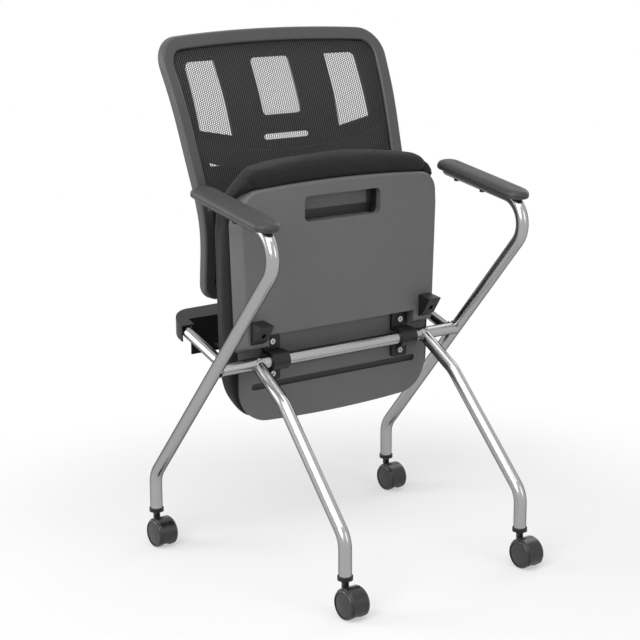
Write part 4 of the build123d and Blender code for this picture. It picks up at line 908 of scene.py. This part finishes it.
def coped_path(steps=72):
    """Where the cross tube's end meets the left side frame's sloping run."""
    slope = (ARM_CORNER - SLOPE_FOOT).normalized()
    points = []
    for step in range(steps):
        turn = 2 * math.pi * step / steps
        rim = Vector((SIDE_X, HINGE.y + TUBE_R * math.cos(turn),
                      HINGE.z + TUBE_R * math.sin(turn)))
        off = rim - SLOPE_FOOT
        apart = (off - slope * off.dot(slope)).length
        if apart < TUBE_R * 0.995:
            rim.x = SIDE_X - math.sqrt(TUBE_R ** 2 - apart ** 2)
            points.append(rim)
    return points


leg_start = Vector((LEG_X, HINGE.y, HINGE.z))
u_start = Vector((U_X, HINGE.y, HINGE.z))
u_aim = u_start + Vector((0, math.cos(U_RISE), math.sin(U_RISE)))
weld_paths = [branch_path(leg_start, LEG_AIM, TUBE_R), coped_path(),
              branch_path(u_start, u_aim, U_TUBE_R)]
print("weld paths:", [len(p) for p in weld_paths])

# %% Welds: the tree that lays ripples on a path
RIPPLE_STEP, RIPPLE_SIZE, RIPPLE_FLATNESS = 0.0017, 0.0021, 0.55


def ripple_tree():
    """Geometry Nodes: a flattened bead at every Step along the input's curves."""
    tree = bpy.data.node_groups.new("weld_ripples", "GeometryNodeTree")
    for label, kind in (("Path", "Geometry"), ("Step", "Float"), ("Bead", "Float"),
                        ("Finish", "Material")):
        tree.interface.new_socket(label, in_out="INPUT", socket_type="NodeSocket" + kind)
    tree.interface.new_socket("Ripples", in_out="OUTPUT", socket_type="NodeSocketGeometry")
    takes = tree.nodes.new("NodeGroupInput").outputs
    gives = tree.nodes.new("NodeGroupOutput").inputs
    curve = put(tree, "GeometryNodeMeshToCurve", {0: takes["Path"]})
    even = put(tree, "GeometryNodeResampleCurve", {"Curve": curve.outputs[0]})
    even.mode = "LENGTH"
    tree.links.new(takes["Step"], even.inputs["Length"])
    heading = put(tree, "GeometryNodeInputTangent")
    aim = put(tree, "FunctionNodeAlignRotationToVector", {"Vector": heading.outputs[0]})
    aim.axis = "X"
    bead = put(tree, "GeometryNodeMeshIcoSphere", {"Radius": takes["Bead"], "Subdivisions": 2})
    flat = put(tree, "ShaderNodeCombineXYZ", {0: RIPPLE_FLATNESS, 1: 1.0, 2: 1.0})
    rows = put(tree, "GeometryNodeInstanceOnPoints",
               {"Points": even.outputs[0], "Instance": bead.outputs["Mesh"],
                "Rotation": aim.outputs[0], "Scale": flat.outputs[0]})
    real = put(tree, "GeometryNodeRealizeInstances", {0: rows.outputs[0]})
    smooth = put(tree, "GeometryNodeSetShadeSmooth", {0: real.outputs[0]})
    painted = put(tree, "GeometryNodeSetMaterial",
                  {"Geometry": smooth.outputs[0], "Material": takes["Finish"]})
    tree.links.new(painted.outputs[0], gives["Ripples"])
    return tree


def set_inputs(modifier, **values):
    """Sets a Geometry Nodes modifier's inputs by their sockets' identifiers."""
    for item in modifier.node_group.interface.items_tree:
        if item.in_out == "INPUT" and item.name in values:
            modifier[item.identifier] = values[item.name]


ripples = ripple_tree()
print("ripple tree:", len(ripples.nodes), "nodes")

# %% Welds: both sides of the chair
LONGEST_LINK = 0.004  # points of a path that are farther apart aren't joined


def weld_piece():
    """All the ripples, left and right, as one plain mesh."""
    points, edges = [], []
    for path in weld_paths:
        following = path[1:] + path[:1]
        for side in (1, -1):
            first = len(points)
            points += [(side * p.x, p.y, p.z) for p in path]
            edges += [(first + i, first + (i + 1) % len(path))
                      for i, (here, there) in enumerate(zip(path, following))
                      if (here - there).length < LONGEST_LINK]
    mesh = bpy.data.meshes.new("weld_beads")
    mesh.from_pydata(points, edges, [])
    made = bpy.data.objects.new("weld_beads", mesh)
    scene.collection.objects.link(made)
    lay = made.modifiers.new("ripples", "NODES")
    lay.node_group = ripples
    set_inputs(lay, Step=RIPPLE_STEP, Bead=RIPPLE_SIZE, Finish=weld_silver)
    settle(made)
    return made


welds = weld_piece()
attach(welds, "frame")
print("weld ripples:", len(welds.data.polygons), "faces")

# %% [markdown]
# The studio is a plain pale floor and soft boxes.  The background is white because the world is
# white for the rays that see it, straight or in a mirror, while the light that it sheds is lower.
# The floor is told apart in the same way, and keeps the shadow that the chair casts on it.

# %% Floor
FLOOR_HALF = 9.0
FADE_START, FADE_END = 0.5, 1.0  # distances from the chair's middle


def seen_rays(tree):
    """1 for camera, mirror and glass rays."""
    path = put(tree, "ShaderNodeLightPath").outputs
    seen = compute(tree, "MAXIMUM", path["Is Camera Ray"], path["Is Glossy Ray"])
    return compute(tree, "MAXIMUM", seen, path["Is Transmission Ray"])


def make_floor():
    """A wide plane at the casters' feet.  Away from the chair it fades into the white world."""
    material = bpy.data.materials.new("studio_floor_white")
    material.use_nodes = True
    tree = material.node_tree
    tree.nodes.remove(tree.nodes["Principled BSDF"])
    plain = put(tree, "ShaderNodeBsdfDiffuse", {"Color": grey(0.8)})
    shown = put(tree, "ShaderNodeBsdfDiffuse", {"Color": grey(0.42)})
    glow = put(tree, "ShaderNodeEmission", {"Color": grey(1.0), "Strength": 0.46})
    near = put(tree, "ShaderNodeAddShader", {0: shown.outputs[0], 1: glow.outputs[0]})
    white = put(tree, "ShaderNodeEmission", {"Color": grey(1.0), "Strength": 1.0})
    place = put(tree, "ShaderNodeTexCoord").outputs["Object"]
    away = put(tree, "ShaderNodeVectorMath", {0: place}, operation="LENGTH").outputs["Value"]
    fade = put(tree, "ShaderNodeMapRange",
               {"Value": away, "From Min": FADE_START, "From Max": FADE_END},
               interpolation_type="SMOOTHSTEP")
    faded = put(tree, "ShaderNodeMixShader",
                {0: fade.outputs[0], 1: near.outputs[0], 2: white.outputs[0]})
    pick = put(tree, "ShaderNodeMixShader",
               {0: seen_rays(tree), 1: plain.outputs[0], 2: faded.outputs[0]})
    tree.links.new(pick.outputs[0], tree.nodes["Material Output"].inputs["Surface"])
    corners = [(x * FLOOR_HALF, y * FLOOR_HALF, 0) for x, y in ((-1, -1), (1, -1), (1, 1), (-1, 1))]
    floor = piece_from("studio_floor", corners, [(0, 1, 2, 3)], material, smooth=False)
    return floor


print("floor:", make_floor().name)

# %% World
world = bpy.data.worlds.new("studio_world")
world.use_nodes = True
scene.world = world
sky = world.node_tree
sky.nodes.clear()
shed = put(sky, "ShaderNodeBackground", {"Color": grey(1.0), "Strength": 0.34})
white = put(sky, "ShaderNodeBackground", {"Color": grey(1.0), "Strength": 1.0})
pick = put(sky, "ShaderNodeMixShader",
           {0: seen_rays(sky), 1: shed.outputs[0], 2: white.outputs[0]})
put(sky, "ShaderNodeOutputWorld", {"Surface": pick.outputs[0]})
print("world sheds", shed.inputs["Strength"].default_value)

# %% [markdown]
# Five softboxes stand round the chair and all look at its middle.  The two on the left are the
# strongest, and draw the long highlights on the tubes.  The others lift the shaded sides.

# %% Softboxes
def softbox(name, place, aim, width, height, power):
    """A rectangular area lamp at place that looks at aim."""
    lamp = bpy.data.lights.new(name, "AREA")
    lamp.shape, lamp.size, lamp.size_y, lamp.energy = "RECTANGLE", width, height, power
    made = bpy.data.objects.new(name, lamp)
    scene.collection.objects.link(made)
    made.location = place
    made.rotation_euler = (Vector(aim) - Vector(place)).to_track_quat("-Z", "Y").to_euler()


CENTRE = (0.0, 0.0, 0.45)
softbox("key_left", (-2.6, -1.4, 2.2), CENTRE, 2.0, 2.4, 80.0)
softbox("edge_left", (-2.3, 1.8, 1.5), CENTRE, 1.2, 2.2, 40.0)
softbox("fill_front", (0.9, -3.0, 1.5), CENTRE, 0.8, 1.6, 12.0)
softbox("rim_right", (2.4, 0.6, 1.8), CENTRE, 1.4, 2.2, 15.0)
softbox("top", (-0.2, -0.9, 3.0), CENTRE, 2.0, 2.0, 30.0)
scene.view_settings.view_transform = "Standard"
